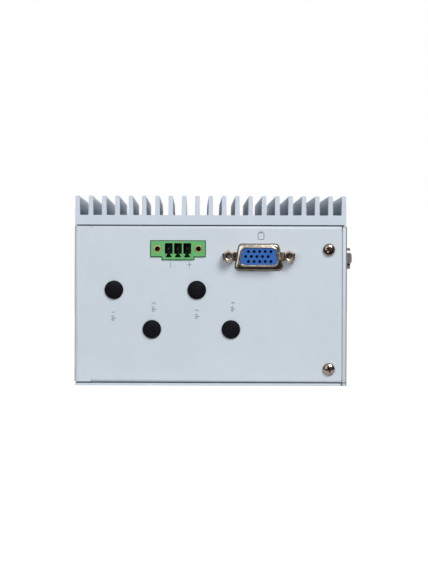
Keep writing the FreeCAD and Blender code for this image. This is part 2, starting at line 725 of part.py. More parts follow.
def port_panel():
    """Right wall with a return at each end and a flange under the heat sink."""
    x_return = X_RIGHT - FLANGE
    sheet = folded_channel(x_return, X_RIGHT, PANEL_END, 0, RAW_HIGH)
    x_neck = X_RIGHT - FOLD - PANEL_NECK
    low, high = FOLD_LOW + EDGE_GAP, FOLD_HIGH - EDGE_GAP
    cutters = [box(x_return, x_neck, y0, y1, z0, z1)
               for y0, y1 in ((-PANEL_END, -PANEL_END + SHEET), (PANEL_END - SHEET, PANEL_END))
               for z0, z1 in ((0, low), (high, RAW_HIGH))]
    half = PANEL_FLANGE_HALF
    cutters.append(box(X_RIGHT - SHEET, X_RIGHT, -half - RELIEF, half + RELIEF, FOLD_HIGH, RAW_HIGH))
    flange = folded_flange(Vector(X_RIGHT, -half, CHASSIS_HEIGHT),
                           Vector(X_RIGHT, half, CHASSIS_HEIGHT), -X_AXIS)
    sheet = fused([sheet.cut(group(cutters)), flange])

    holes = [placed(dsub_cutout(), on_panel(SERIAL_Y, DSUB_Z))]
    holes += [placed(port_cutter(LAN_WIDTH, LAN_HEIGHT), on_panel(y, BOARD_Z)) for y in LAN_YS]
    holes += [placed(port_cutter(USB_WIDTH, USB_HEIGHT), on_panel(y, BOARD_Z)) for y in USB_YS]
    holes.append(placed(rod(BUTTON_RADIUS + BUTTON_HOLE_PLAY, 0, 0, -SHEET, 0),
                        on_panel(BUTTON_Y, DSUB_Z)))
    holes += [placed(rod(LIGHT_RADIUS + LIGHT_PLAY, 0, 0, -SHEET, 0), on_panel(y, DSUB_Z))
              for y in light_places()]
    collar = rod(M25_RADIUS + THREAD_PLAY + NUT_SHANK, 0, 0, -2 * SHEET, -SHEET)
    holes += [placed(collar, side(END_SCREW_X, z))
              for side in (on_end, on_far_end) for z in END_SCREW_HEIGHTS]
    holes += [rod(M3_RADIUS + HOLE_PLAY, x, y, CHASSIS_HEIGHT - SHEET, CHASSIS_HEIGHT)
              for x, y in sink_screw_places() if x > WALL_EDGE - FLANGE]
    return sheet.cut(group(holes))


def port_cutter(width, height):
    """Cut-out for a box-shaped port that hangs from the board at local y = 0."""
    half = width / 2 + PORT_PLAY
    return box(-half, half, -height - PORT_PLAY, PORT_PLAY, -SHEET, 0)


def drive_hole_places():
    """Threads in the underside of the drive, as (x, y)."""
    reach = DRIVE_WIDTH / 2 - DRIVE_HOLE_INSET
    back = DRIVE_BACK - DRIVE_HOLE_SETBACK
    return [(DRIVE_X + i * reach, y) for i in (-1, 1) for y in (back, back - DRIVE_HOLE_SPACING)]


def bottom_cover():
    """Flat plate with notches at the port panel's folds."""
    x0, x1 = X_LEFT + COVER_INSET, X_RIGHT - SHEET - SEAM
    plate = box(x0, x1, Y_NEAR, Y_FAR, 0, SHEET)
    x_notch, y_notch = WALL_EDGE - COVER_INSET, PANEL_END - FOLD - SEAM
    cutters = [box(x_notch, x1, Y_NEAR, -y_notch, 0, SHEET), box(x_notch, x1, y_notch, Y_FAR, 0, SHEET)]
    hole = sunk_hole(M3_RADIUS, SUNK_HEAD_RADIUS, SHEET)
    cutters += [placed(hole, Placement(Vector(x, y, 0), Rotation()))
                for x, y in cover_screw_places() + drive_hole_places()]
    return plate.cut(group(cutters))


def cover_screws():
    screw = sunk_screw(M3_RADIUS, SUNK_HEAD_RADIUS, 2 * SHEET + NUT_HEIGHT)
    return group([placed(screw, Placement(Vector(x, y, 0), Rotation()))
                  for x, y in cover_screw_places()])


def cover_nuts():
    nut = clinch_nut(M3_RADIUS + THREAD_PLAY, M3_NUT_RADIUS, NUT_HEIGHT, SHEET)
    return group([placed(nut, Placement(Vector(x, y, 2 * SHEET), Rotation()))
                  for x, y in cover_screw_places()])


def end_screws(side):
    """Pan-head screws through one end wall into the port panel's return."""
    screw = pan_screw(M25_RADIUS, M25_HEAD_RADIUS, M25_HEAD_HEIGHT, 2 * SHEET + NUT_HEIGHT, True)
    return group([placed(screw, side(END_SCREW_X, z)) for z in END_SCREW_HEIGHTS])


def panel_nuts():
    nut = clinch_nut(M25_RADIUS + THREAD_PLAY, M25_NUT_RADIUS, NUT_HEIGHT, SHEET)
    inward = Placement(Vector(0, 0, -2 * SHEET), Rotation(X_AXIS, 180))
    return group([placed(nut, side(END_SCREW_X, z) * inward)
                  for side in (on_end, on_far_end) for z in END_SCREW_HEIGHTS])


def rail_nuts():
    nut = clinch_nut(M4_TAP_RADIUS, M4_NUT_RADIUS, M4_NUT_HEIGHT, SHEET)
    inward = Placement(Vector(0, 0, -SHEET), Rotation(X_AXIS, 180))
    return group([placed(nut, on_left(y, z) * inward) for y, z in rail_places()])


# ---- Board and what it carries -----------------------------------------------------------------

def main_board():
    board = box(BOARD_LEFT, BOARD_RIGHT, BOARD_NEAR, BOARD_FAR, BOARD_Z, BOARD_TOP)
    holes = [rod(M3_RADIUS + HOLE_PLAY, x, y, BOARD_Z, BOARD_TOP) for x, y in STANDOFFS]
    return board.cut(group(holes))


def board_standoffs():
    """Hexagonal spacers with a stud in the heat sink and a thread for the board's screw."""
    spacers = []
    for x, y in STANDOFFS:
        body = fused([hexagon(STANDOFF_FLATS, x, y, BOARD_TOP, CHASSIS_HEIGHT),
                      rod(M3_RADIUS, x, y, CHASSIS_HEIGHT, CHASSIS_HEIGHT + THREAD_LENGTH)])
        bore = rod(M3_RADIUS + THREAD_PLAY, x, y, BOARD_TOP, CHASSIS_HEIGHT - STANDOFF_FLOOR)
        spacers.append(body.cut(bore))
    return group(spacers)


def board_screws():
    screw = cheese_screw(M3_RADIUS, M3_HEAD_RADIUS, M3_HEAD_HEIGHT, BOARD_THICKNESS + THREAD_LENGTH)
    under = Rotation(X_AXIS, 180)
    return group([placed(screw, Placement(Vector(x, y, BOARD_Z), under)) for x, y in STANDOFFS])


def centred(x, y, width, depth, z0, z1):
    """Block centred on (x, y)."""
    return box(x - width / 2, x + width / 2, y - depth / 2, y + depth / 2, z0, z1)


def processor():
    """Substrate with a smaller die on it."""
    side, die, middle = PROCESSOR_SIDE, DIE_SIDE, BOARD_TOP + PROCESSOR_HEIGHT / 2
    return fused([centred(PROCESSOR_X, PROCESSOR_Y, side, side, BOARD_TOP, middle),
                  centred(PROCESSOR_X, PROCESSOR_Y, die, die, middle, BOARD_TOP + PROCESSOR_HEIGHT)])


def thermal_pad():
    z0 = BOARD_TOP + PROCESSOR_HEIGHT
    return centred(PROCESSOR_X, PROCESSOR_Y, PAD_SIDE, PAD_SIDE, z0, z0 + PAD_THICKNESS)


def heat_spreader():
    z0 = CHASSIS_HEIGHT - SPREADER_THICKNESS
    block = centred(PROCESSOR_X, PROCESSOR_Y, SPREADER_SIDE, SPREADER_SIDE, z0, CHASSIS_HEIGHT)
    hole = sunk_hole(M25_RADIUS, SUNK_M25_HEAD_RADIUS, SPREADER_THICKNESS)
    return block.cut(group([placed(hole, Placement(Vector(x, y, z0), Rotation()))
                            for x, y in spreader_screw_places()]))


def spreader_screws():
    z0 = CHASSIS_HEIGHT - SPREADER_THICKNESS
    screw = sunk_screw(M25_RADIUS, SUNK_M25_HEAD_RADIUS, SPREADER_THICKNESS + THREAD_LENGTH)
    return group([placed(screw, Placement(Vector(x, y, z0), Rotation()))
                  for x, y in spreader_screw_places()])


def memory_module():
    """Board with four chips below it, its contact edge in the socket."""
    z1 = BOARD_Z - MEMORY_DROP
    z0 = z1 - MEMORY_THICKNESS
    chips = [centred(MEMORY_X + (i - (MEMORY_CHIPS - 1) / 2) * MEMORY_CHIP_PITCH,
                     MEMORY_Y - MEMORY_CHIP_SHIFT, MEMORY_CHIP_WIDTH, MEMORY_CHIP_LENGTH,
                     z0 - MEMORY_CHIP_HEIGHT, z0) for i in range(MEMORY_CHIPS)]
    return fused([centred(MEMORY_X, MEMORY_Y, MEMORY_WIDTH, MEMORY_LENGTH, z0, z1)] + chips)


def memory_socket():
    """Slotted bar with two arms that latch the module's far corners."""
    arm = MEMORY_ARM
    half = MEMORY_WIDTH / 2 + MOULD_PLAY
    y1 = MEMORY_Y + MEMORY_LENGTH / 2
    y0 = y1 - MEMORY_SOCKET_DEPTH / 2
    z0 = BOARD_Z - MEMORY_SOCKET_HEIGHT
    bar = box(MEMORY_X - half - arm, MEMORY_X + half + arm, y0, y0 + MEMORY_SOCKET_DEPTH, z0, BOARD_Z)
    arms = [box(MEMORY_X + x0, MEMORY_X + x0 + arm, MEMORY_Y - MEMORY_LENGTH / 2, y0, z0, BOARD_Z)
            for x0 in (-half - arm, half)]
    return fused([bar] + arms).cut(memory_module())


def coin_cell():
    z1 = BOARD_Z - (CELL_HOLDER_HEIGHT - CELL_THICKNESS) / 2
    return rod(CELL_RADIUS, CELL_X, CELL_Y, z1 - CELL_THICKNESS, z1)


def coin_cell_holder():
    """Round cup under the board, open below so that the cell can be changed."""
    z0 = BOARD_Z - CELL_HOLDER_HEIGHT
    cup = rod(CELL_HOLDER_RADIUS, CELL_X, CELL_Y, z0, BOARD_Z)
    z1 = BOARD_Z - (CELL_HOLDER_HEIGHT - CELL_THICKNESS) / 2
    return cup.cut(rod(CELL_RADIUS + MOULD_PLAY, CELL_X, CELL_Y, z0, z1))


def storage_drive():
    """Flat drive above the cover, its connector edge towards the far end."""
    body = centred(DRIVE_X, DRIVE_BACK - DRIVE_LENGTH / 2, DRIVE_WIDTH, DRIVE_LENGTH, DRIVE_Z,
                   DRIVE_Z + DRIVE_HEIGHT)
    body = body.makeFillet(DRIVE_EDGE_ROUND, upright_edges(body))
    return body.cut(group([rod(M3_RADIUS + THREAD_PLAY, x, y, DRIVE_Z, DRIVE_Z + DRIVE_THREAD + TIP_GAP)
                           for x, y in drive_hole_places()]))


def drive_spacers():
    """Round spacers between the cover and the drive."""
    return group([rod(SPACER_RADIUS, x, y, SHEET, DRIVE_Z)
                  .cut(rod(M3_RADIUS + HOLE_PLAY, x, y, SHEET, DRIVE_Z))
                  for x, y in drive_hole_places()])


def drive_screws():
    screw = sunk_screw(M3_RADIUS, SUNK_HEAD_RADIUS, DRIVE_Z + DRIVE_THREAD)
    return group([placed(screw, Placement(Vector(x, y, 0), Rotation()))
                  for x, y in drive_hole_places()])


def cable_band(x, width):
    """Flat cable that leaves the drive plug and turns up to the board."""
    z = DRIVE_Z + DRIVE_HEIGHT / 2
    half, start = CABLE_THICKNESS / 2, DRIVE_BACK + CABLE_PLUG_DEPTH
    inner, outer = CABLE_BEND - half, CABLE_BEND + half
    y_turn, z_turn = CABLE_Y - CABLE_BEND, z + CABLE_BEND
    z_end = BOARD_Z - SOCKET_HEIGHT - TOP_PLUG_HEIGHT

    def at(y, height):
        return Vector(x - width / 2, y, height)

    face = outline(
        at(start, z - half), at(y_turn, z - half),
        (at(y_turn + outer * DIAGONAL, z_turn - outer * DIAGONAL), at(CABLE_Y + half, z_turn)),
        at(CABLE_Y + half, z_end), at(CABLE_Y - half, z_end), at(CABLE_Y - half, z_turn),
        (at(y_turn + inner * DIAGONAL, z_turn - inner * DIAGONAL), at(y_turn, z + half)),
        at(start, z + half))
    return face.extrude(Vector(width, 0, 0))


def cable_bands():
    """Middle and width of each band of the drive cable."""
    return ((DATA_BAND_X, DATA_BAND_WIDTH), (POWER_BAND_X, POWER_BAND_WIDTH))


def drive_cable():
    z = DRIVE_Z + DRIVE_HEIGHT / 2
    middle = (DATA_BAND_X + POWER_BAND_X) / 2
    pieces = [box(middle - CABLE_PLUG_WIDTH / 2, middle + CABLE_PLUG_WIDTH / 2, DRIVE_BACK,
                  DRIVE_BACK + CABLE_PLUG_DEPTH, z - CABLE_PLUG_HEIGHT / 2, z + CABLE_PLUG_HEIGHT / 2)]
    z1 = BOARD_Z - SOCKET_HEIGHT
    for x, width in cable_bands():
        pieces.append(cable_band(x, width))
        pieces.append(centred(x, CABLE_Y, width + 2 * TOP_PLUG_OVERLAP, SOCKET_DEPTH,
                              z1 - TOP_PLUG_HEIGHT, z1))
    return fused(pieces)


def drive_sockets():
    """Sockets under the board for the two bands."""
    return group([centred(x, CABLE_Y, width + 2 * TOP_PLUG_OVERLAP + 2, SOCKET_DEPTH,
                          BOARD_Z - SOCKET_HEIGHT, BOARD_Z) for x, width in cable_bands()])


# ---- Power header ------------------------------------------------------------------------------

def pole_places():
    """Middle of each pole, along the local x."""
    return [(i - (HEADER_POLES - 1) / 2) * HEADER_PITCH for i in range(HEADER_POLES)]


def insert_places():
    """Middle of each flange thread, along the local x."""
    reach = (HEADER_POLES - 1) * HEADER_PITCH / 2 + INSERT_OFFSET
    return (-reach, reach)


def header_frame():
    """Local frame of the header: y = 0 at the board, z = 0 on the end wall."""
    return on_end(HEADER_X, BOARD_Z)


def header_pins():
    """Square pins, each turned up to the board behind the header."""
    y = -CELL_TOP_DROP - CELL_HEIGHT / 2
    half, back = POLE_PIN / 2, HEADER_PROUD - HEADER_DEPTH
    pins = [fused([box(x - half, x + half, y - half, y + half, back - POLE_PIN,
                       HEADER_PROUD - POLE_PIN_SETBACK),
                   box(x - half, x + half, y - half, 0, back - POLE_PIN, back)])
            for x in pole_places()]
    return placed(group(pins), header_frame())


def header_insert_sleeves():
    """Threaded sleeves in the flanges of the header."""
    z1 = HEADER_PROUD
    sleeves = [rod(INSERT_RADIUS, x, -INSERT_DROP, z1 - INSERT_LENGTH, z1)
               .cut(rod(INSERT_TAP_RADIUS, x, -INSERT_DROP, z1 - INSERT_LENGTH, z1))
               for x in insert_places()]
    return placed(group(sleeves), header_frame())


def power_header():
    body = header_outline(0, HEADER_PROUD - HEADER_DEPTH, HEADER_PROUD)
    top, low = -CELL_TOP_DROP, -CELL_TOP_DROP - CELL_HEIGHT
    z0, z1 = HEADER_PROUD - CELL_DEPTH, HEADER_PROUD
    cutters = []
    for x in pole_places():
        cutters.append(box(x - CELL_WIDTH / 2, x + CELL_WIDTH / 2, low, top, z0, z1))
        neck, base = KEYWAY_NECK / 2, KEYWAY_BASE / 2
        cutters.append(prism([(x - neck, low), (x - base, low - KEYWAY_DEPTH),
                              (x + base, low - KEYWAY_DEPTH), (x + neck, low)], z0, z1))
    cutters += [rod(INSERT_RADIUS, x, -INSERT_DROP, z1 - INSERT_LENGTH, z1) for x in insert_places()]
    body = body.cut(fused(cutters[:2 * HEADER_POLES])).cut(group(cutters[2 * HEADER_POLES:]))
    return placed(body, header_frame()).cut(header_pins())


# ---- D-shaped connectors -----------------------------------------------------------------------

def dsub_shell(width, height):
    """Plate behind the panel, raised D and rim, in the local frame of the connector."""
    back = -SHEET - DSUB_PLATE
    reach = DSUB_SCREW_SPACING / 2
    plate = centred(0, 0, DSUB_PLATE_WIDTH, DSUB_PLATE_HEIGHT, back, -SHEET)
    bump = d_shape(DSUB_BUMP_WIDTH, DSUB_BUMP_HEIGHT, -SHEET, DSUB_BUMP_PROUD, DSUB_BUMP_ROUND)
    front = [edge for edge in bump.Edges
             if all(abs(vertex.Z - DSUB_BUMP_PROUD) < 1e-6 for vertex in edge.Vertexes)]
    bump = bump.makeFillet(DSUB_BUMP_SOFT, front)
    bump.translate(Vector(0, -DSUB_BUMP_SAG, 0))
    rim = d_shape(width, height, 0, DSUB_PROUD, DSUB_ROUND)
    inner = d_shape(width - 2 * DSUB_WALL, height - 2 * DSUB_WALL, back, DSUB_PROUD,
                    DSUB_ROUND - DSUB_WALL)
    holes = [rod(JACK_STUD_RADIUS + THREAD_PLAY, x, 0, back, -SHEET) for x in (-reach, reach)]
    return fused([plate, bump, rim]).cut(group([inner] + holes))


def dsub_block(front, width, height):
    """Moulded insert that fills the shell up to front, with the block that stands on the board."""
    back = -SHEET - DSUB_PLATE
    wall = DSUB_WALL + MOULD_PLAY
    nose = d_shape(width - 2 * wall, height - 2 * wall, back, front, DSUB_ROUND - wall)
    half = DSUB_BLOCK_WIDTH / 2
    block = box(-half, half, -DSUB_BLOCK_BELOW, DSUB_DROP, back - DSUB_BLOCK_DEPTH, back)
    return fused([block, nose])


def dsub_lead(x, y, row):
    """Square lead from the back of the block, turned up to the board, one row behind the other."""
    half = LEAD / 2
    back = -SHEET - DSUB_PLATE - DSUB_BLOCK_DEPTH
    behind = back - LEAD_REACH - (row + 1) * LEAD_STEP
    return [box(x - half, x + half, y - half, y + half, behind, back),
            box(x - half, x + half, y - half, DSUB_DROP, behind, behind + LEAD)]


def display_contact_places():
    """Contacts of the display socket as (x, y, row), three rows of five from the wide side up."""
    places = []
    for row in range(DISPLAY_ROWS):
        shift = -DISPLAY_PITCH / 2 if row % 2 else 0
        y = (row - (DISPLAY_ROWS - 1) / 2) * DISPLAY_ROW_PITCH
        for column in range(DISPLAY_COLUMNS):
            x = (column - (DISPLAY_COLUMNS - 1) / 2) * DISPLAY_PITCH + shift + DISPLAY_SHIFT
            places.append((x, y, row))
    return places


def serial_pin_places():
    """Pins of a serial port as (x, y, row): five in the wide row, four in the narrow one."""
    places = []
    for row, count in enumerate((5, 4)):
        y = (row - 0.5) * SERIAL_ROW_PITCH
        places += [((i - (count - 1) / 2) * SERIAL_PITCH, y, row) for i in range(count)]
    return places


def display_contacts():
    """Contact bars behind the holes of the display socket, with their leads."""
    front = DSUB_PROUD - DSUB_FACE_SETBACK - DISPLAY_HOLE_DEPTH
    back = -SHEET - DSUB_PLATE - DSUB_BLOCK_DEPTH
    half = LEAD / 2
    bars = [fused([box(x - half, x + half, y - half, y + half, back, front)] + dsub_lead(x, y, row))
            for x, y, row in display_contact_places()]
    return placed(group(bars), on_end(DISPLAY_X, DSUB_Z))


def display_insert():
    face = DSUB_PROUD - DSUB_FACE_SETBACK
    block = dsub_block(face, DISPLAY_WIDTH, DISPLAY_HEIGHT)
    holes = [rod(DISPLAY_HOLE_RADIUS, x, y, face - DISPLAY_HOLE_DEPTH, face)
             for x, y, _ in display_contact_places()]
    block = placed(block.cut(group(holes)), on_end(DISPLAY_X, DSUB_Z))
    return block.cut(display_contacts())


def display_shell():
    return placed(dsub_shell(DISPLAY_WIDTH, DISPLAY_HEIGHT), on_end(DISPLAY_X, DSUB_Z))


def serial_pins():
    """Round pins with square leads, one solid each."""
    tip = DSUB_PROUD - SERIAL_PIN_SETBACK
    back = -SHEET - DSUB_PLATE - DSUB_BLOCK_DEPTH
    pins = [fused([rod(SERIAL_PIN_RADIUS, x, y, back, tip)] + dsub_lead(x, y, row))
            for x, y, row in serial_pin_places()]
    return placed(group(pins), on_panel(SERIAL_Y, DSUB_Z))


def serial_insert():
    block = dsub_block(SERIAL_FLOOR, SERIAL_WIDTH, SERIAL_HEIGHT)
    return placed(block, on_panel(SERIAL_Y, DSUB_Z)).cut(serial_pins())


def serial_shell():
    return placed(dsub_shell(SERIAL_WIDTH, SERIAL_HEIGHT), on_panel(SERIAL_Y, DSUB_Z))


def jackscrew():
    """Hexagonal screw with a chamfered, tapped head on the local plane z = 0."""
    corner = JACK_FLATS / math.sqrt(3)
    head = hexagon(JACK_FLATS, 0, 0, 0, JACK_LENGTH)
    crown = turned(0, 0, (0, 0), (corner, 0), (corner, JACK_LENGTH - JACK_CHAMFER),
                   (corner - JACK_CHAMFER, JACK_LENGTH), (0, JACK_LENGTH))
    screw = fused([head.common(crown), rod(JACK_STUD_RADIUS, 0, 0, -JACK_STUD_LENGTH, 0)])
    return screw.cut(rod(JACK_TAP_RADIUS, 0, 0, JACK_LENGTH - JACK_TAP_DEPTH, JACK_LENGTH))


def jackscrews(frame):
    """The pair of jackscrews beside a connector."""
    reach = DSUB_SCREW_SPACING / 2
    return group([placed(jackscrew(), frame * Placement(Vector(x, 0, 0), Rotation()))
                  for x in (-reach, reach)])


# ---- Antenna plugs -----------------------------------------------------------------------------

def antenna_plug(x, z):
    """Domed snap-in plug, hollow from behind."""
    shank = ANTENNA_HOLE_RADIUS - PLUG_PLAY
    behind = -SHEET - PLUG_PLAY
    tip = behind - PLUG_DEPTH
    inner = shank - PLUG_WALL
    dome = PLUG_HEAD_HEIGHT - PLUG_RIM
    plug = turned(
        0, 0, (0, PLUG_HEAD_HEIGHT),
        ((PLUG_HEAD_RADIUS * DIAGONAL, PLUG_RIM + dome * DIAGONAL), (PLUG_HEAD_RADIUS, PLUG_RIM)),
        (PLUG_HEAD_RADIUS, 0), (shank, 0), (shank, behind), (shank + PLUG_BARB, behind - PLUG_BARB),
        (shank - PLUG_BARB, tip), (inner, tip), (inner, 0), (0, 0))
    return placed(plug, on_end(x, z))


# ---- Flush ports -------------------------------------------------------------------------------

def lan_cavity():
    """Socket with its two latch steps, in the local frame of a network jack."""
    low = -LAN_HEIGHT + LAN_SILL
    top = low + LAN_CAVITY_HEIGHT
    z0, z1 = PORT_PROUD - LAN_CAVITY_DEPTH, PORT_PROUD
    half, step, latch = LAN_CAVITY_WIDTH / 2, LAN_STEP_WIDTH / 2, LAN_LATCH_WIDTH / 2
    return fused([box(-half, half, low, top, z0, z1),
                  box(-step, step, top, top + LAN_STEP, z0, z1),
                  box(-latch, latch, top + LAN_STEP, top + LAN_STEP + LAN_LATCH, z0, z1)])


def lan_light_places():
    """Lower left corner of each light on the face of a jack."""
    low = -LAN_HEIGHT + LAN_LIGHT_RISE
    side = LAN_WIDTH / 2 - LAN_LIGHT_INSET
    return ((-side, low), (side - LAN_LIGHT_WIDTH, low))


def lan_light(x, y):
    return box(x, x + LAN_LIGHT_WIDTH, y, y + LAN_LIGHT_HEIGHT, PORT_PROUD - LAN_LIGHT_DEPTH,
               PORT_PROUD)


def lan_jack(y_place):
    half = LAN_WIDTH / 2
    body = box(-half, half, -LAN_HEIGHT, 0, PORT_PROUD - LAN_DEPTH, PORT_PROUD)
    lights = [lan_light(x, y) for x, y in lan_light_places()]
    return placed(body.cut(group([lan_cavity()] + lights)), on_panel(y_place, BOARD_Z))


def lan_lights():
    return group([placed(lan_light(x, y), on_panel(y_place, BOARD_Z))
                  for y_place in LAN_YS for x, y in lan_light_places()])


def lan_contacts():
    """Springs that rise from the floor of each socket towards its back wall."""
    low = -LAN_HEIGHT + LAN_SILL
    z0 = PORT_PROUD - LAN_CAVITY_DEPTH
    z1 = z0 + LAN_CONTACT_LENGTH
    thick = LAN_CONTACT_WIDTH
    springs = []
    for y_place in LAN_YS:
        for i in range(LAN_CONTACTS):
            x = (i - (LAN_CONTACTS - 1) / 2) * LAN_CONTACT_PITCH - thick / 2
            face = Part.Face(Part.makePolygon([
                Vector(x, low, z1), Vector(x, low + LAN_CONTACT_RISE, z0),
                Vector(x, low + LAN_CONTACT_RISE - thick, z0), Vector(x, low, z1 - 2 * thick),
                Vector(x, low, z1)]))
            springs.append(placed(face.extrude(Vector(thick, 0, 0)), on_panel(y_place, BOARD_Z)))
    return group(springs)


def usb_cavity_tops():
    """Upper face of each socket in a double port, below the board."""
    return [-share * USB_HEIGHT + USB_CAVITY_HEIGHT / 2 for share in (0.25, 0.75)]


def usb_shell(y_place):
    """Shield with two sockets one above the other."""
    half, inner = USB_WIDTH / 2, USB_WIDTH / 2 - USB_WALL
    body = box(-half, half, -USB_HEIGHT, 0, PORT_PROUD - USB_DEPTH, PORT_PROUD)
    cavities = [box(-inner, inner, top - USB_CAVITY_HEIGHT, top, PORT_PROUD - USB_CAVITY_DEPTH,
                    PORT_PROUD) for top in usb_cavity_tops()]
    return placed(body.cut(group(cavities)), on_panel(y_place, BOARD_Z))


def usb_tongues():
    """Contact tongue in each socket, nearer to its upper face."""
    half = USB_WIDTH / 2 - USB_WALL - USB_TONGUE_SIDE
    tongues = []
    for y_place in USB_YS:
        for top in usb_cavity_tops():
            y1 = top - USB_TONGUE_GAP
            tongue = box(-half, half, y1 - USB_TONGUE_THICKNESS, y1, PORT_PROUD - USB_CAVITY_DEPTH,
                         PORT_PROUD - USB_TONGUE_SETBACK)
            tongues.append(placed(tongue, on_panel(y_place, BOARD_Z)))
    return group(tongues)


# ---- Power button and status lights ------------------------------------------------------------

def switch_face():
    """Local z of the switch's front."""
    return -SHEET - BUTTON_STOP_GAP - BUTTON_COLLAR - BUTTON_TRAVEL - BUTTON_BACK_GAP


def power_button():
    """Round cap with a collar behind the panel and a stem into the switch."""
    collar = -SHEET - BUTTON_STOP_GAP
    soft = BUTTON_ROUND
    cap = turned(
        0, 0, (0, BUTTON_PROUD), (BUTTON_RADIUS - soft, BUTTON_PROUD),
        ((BUTTON_RADIUS - soft * (1 - DIAGONAL), BUTTON_PROUD - soft * (1 - DIAGONAL)),
         (BUTTON_RADIUS, BUTTON_PROUD - soft)),
        (BUTTON_RADIUS, collar), (BUTTON_COLLAR_RADIUS, collar),
        (BUTTON_COLLAR_RADIUS, collar - BUTTON_COLLAR), (BUTTON_STEM_RADIUS, collar - BUTTON_COLLAR),
        (BUTTON_STEM_RADIUS, switch_face() - BUTTON_STEM_ENTRY),
        (0, switch_face() - BUTTON_STEM_ENTRY))
    return placed(cap, on_panel(BUTTON_Y, DSUB_Z))


def power_switch():
    """Block under the board with a bore for the button's stem."""
    half, front = SWITCH_SIDE / 2, switch_face()
    body = box(-half, half, -half, DSUB_DROP, front - SWITCH_DEPTH, front)
    bore = rod(BUTTON_STEM_RADIUS + BUTTON_STEM_PLAY, 0, 0,
               front - BUTTON_STEM_ENTRY - BUTTON_TRAVEL - BUTTON_BACK_GAP, front)
    return placed(body.cut(bore), on_panel(BUTTON_Y, DSUB_Z))


def light_places():
    """Middle of each status light along Y."""
    last = BOARD_FAR - LIGHT_INSET
    return [last - i * LIGHT_PITCH for i in reversed(range(LIGHT_COUNT))]


def status_lights():
    """Short light pipes with a domed end."""
    back = -SHEET - LIGHT_HOLDER_GAP
    pipe = turned(0, 0, (0, LIGHT_PROUD),
                  ((LIGHT_RADIUS * DIAGONAL, LIGHT_PROUD * DIAGONAL), (LIGHT_RADIUS, 0)),
                  (LIGHT_RADIUS, back), (0, back))
    return group([placed(pipe, on_panel(y, DSUB_Z)) for y in light_places()])


def light_holder():
    """Block under the board that carries the three pipes."""
    back = -SHEET - LIGHT_HOLDER_GAP
    half = LIGHT_HOLDER_HEIGHT / 2
    y0, y1 = light_places()[0] - LIGHT_HOLDER_SIDE, light_places()[-1] + LIGHT_HOLDER_SIDE
    body = box(y0, y1, -half, DSUB_DROP, back - LIGHT_HOLDER_DEPTH, back)
    return placed(body, on_panel(0, DSUB_Z))


# ---- All pieces --------------------------------------------------------------------------------

PIECES = {
    "heat_sink": heat_sink,
    "heat_sink_screws": heat_sink_screws,
    "chassis_wrap": chassis_wrap,
    "port_panel": port_panel,
    "bottom_cover": bottom_cover,
    "cover_screws": cover_screws,
    "cover_nuts": cover_nuts,
    "end_screws_near": lambda: end_screws(on_end),
    "end_screws_far": lambda: end_screws(on_far_end),
    "panel_nuts": panel_nuts,
    "rail_nuts": rail_nuts,
    "main_board": main_board,
    "board_standoffs": board_standoffs,
    "board_screws": board_screws,
    "processor": processor,
    "thermal_pad": thermal_pad,
    "heat_spreader": heat_spreader,
    "spreader_screws": spreader_screws,
    "memory_module": memory_module,
    "memory_socket": memory_socket,
    "coin_cell": coin_cell,
    "coin_cell_holder": coin_cell_holder,
    "storage_drive": storage_drive,
    "drive_spacers": drive_spacers,
    "drive_screws": drive_screws,
    "drive_cable": drive_cable,
    "drive_sockets": drive_sockets,
    "power_header": power_header,
    "power_header_pins": header_pins,
    "power_header_inserts": header_insert_sleeves,
    "display_shell": display_shell,
    "display_insert": display_insert,
    "display_contacts": display_contacts,
    "display_jackscrews": lambda: jackscrews(on_end(DISPLAY_X, DSUB_Z)),
    "serial_shell": serial_shell,
    "serial_insert": serial_insert,
    "serial_pins": serial_pins,
    "serial_jackscrews": lambda: jackscrews(on_panel(SERIAL_Y, DSUB_Z)),
    "lan_contacts": lan_contacts,
    "lan_lights": lan_lights,
    "usb_tongues": usb_tongues,
    "power_button": power_button,
    "power_switch": power_switch,
    "status_lights": status_lights,
    "light_holder": light_holder,
}


def all_pieces():
    """Every node of the part, by name."""
    pieces = {name: make() for name, make in PIECES.items()}
    for number, (x, z) in enumerate(ANTENNA_HOLES, 1):
        pieces[f"antenna_plug_{number}"] = antenna_plug(x, z)
    for number, y in enumerate(LAN_YS, 1):
        pieces[f"lan_jack_{number}"] = lan_jack(y)
    for number, y in enumerate(USB_YS, 1):
        pieces[f"usb_shell_{number}"] = usb_shell(y)
    return pieces


os.makedirs("parts", exist_ok=True)
for node, shape in all_pieces().items():
    shape.exportStep(f"parts/{node}.step")
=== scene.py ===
"""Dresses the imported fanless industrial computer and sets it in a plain, pale studio.

Every length in the classes is in millimetres, in the part's own frame: x towards the port panel,
y along the fins, away from the wall with the display socket, and z up through the fins.
"""

import logging
import math
from dataclasses import dataclass, replace
from enum import Enum
from typing import Any, Callable, Dict, Iterable, Optional, Sequence, Tuple

import bpy
from mathutils import Euler, Matrix, Vector


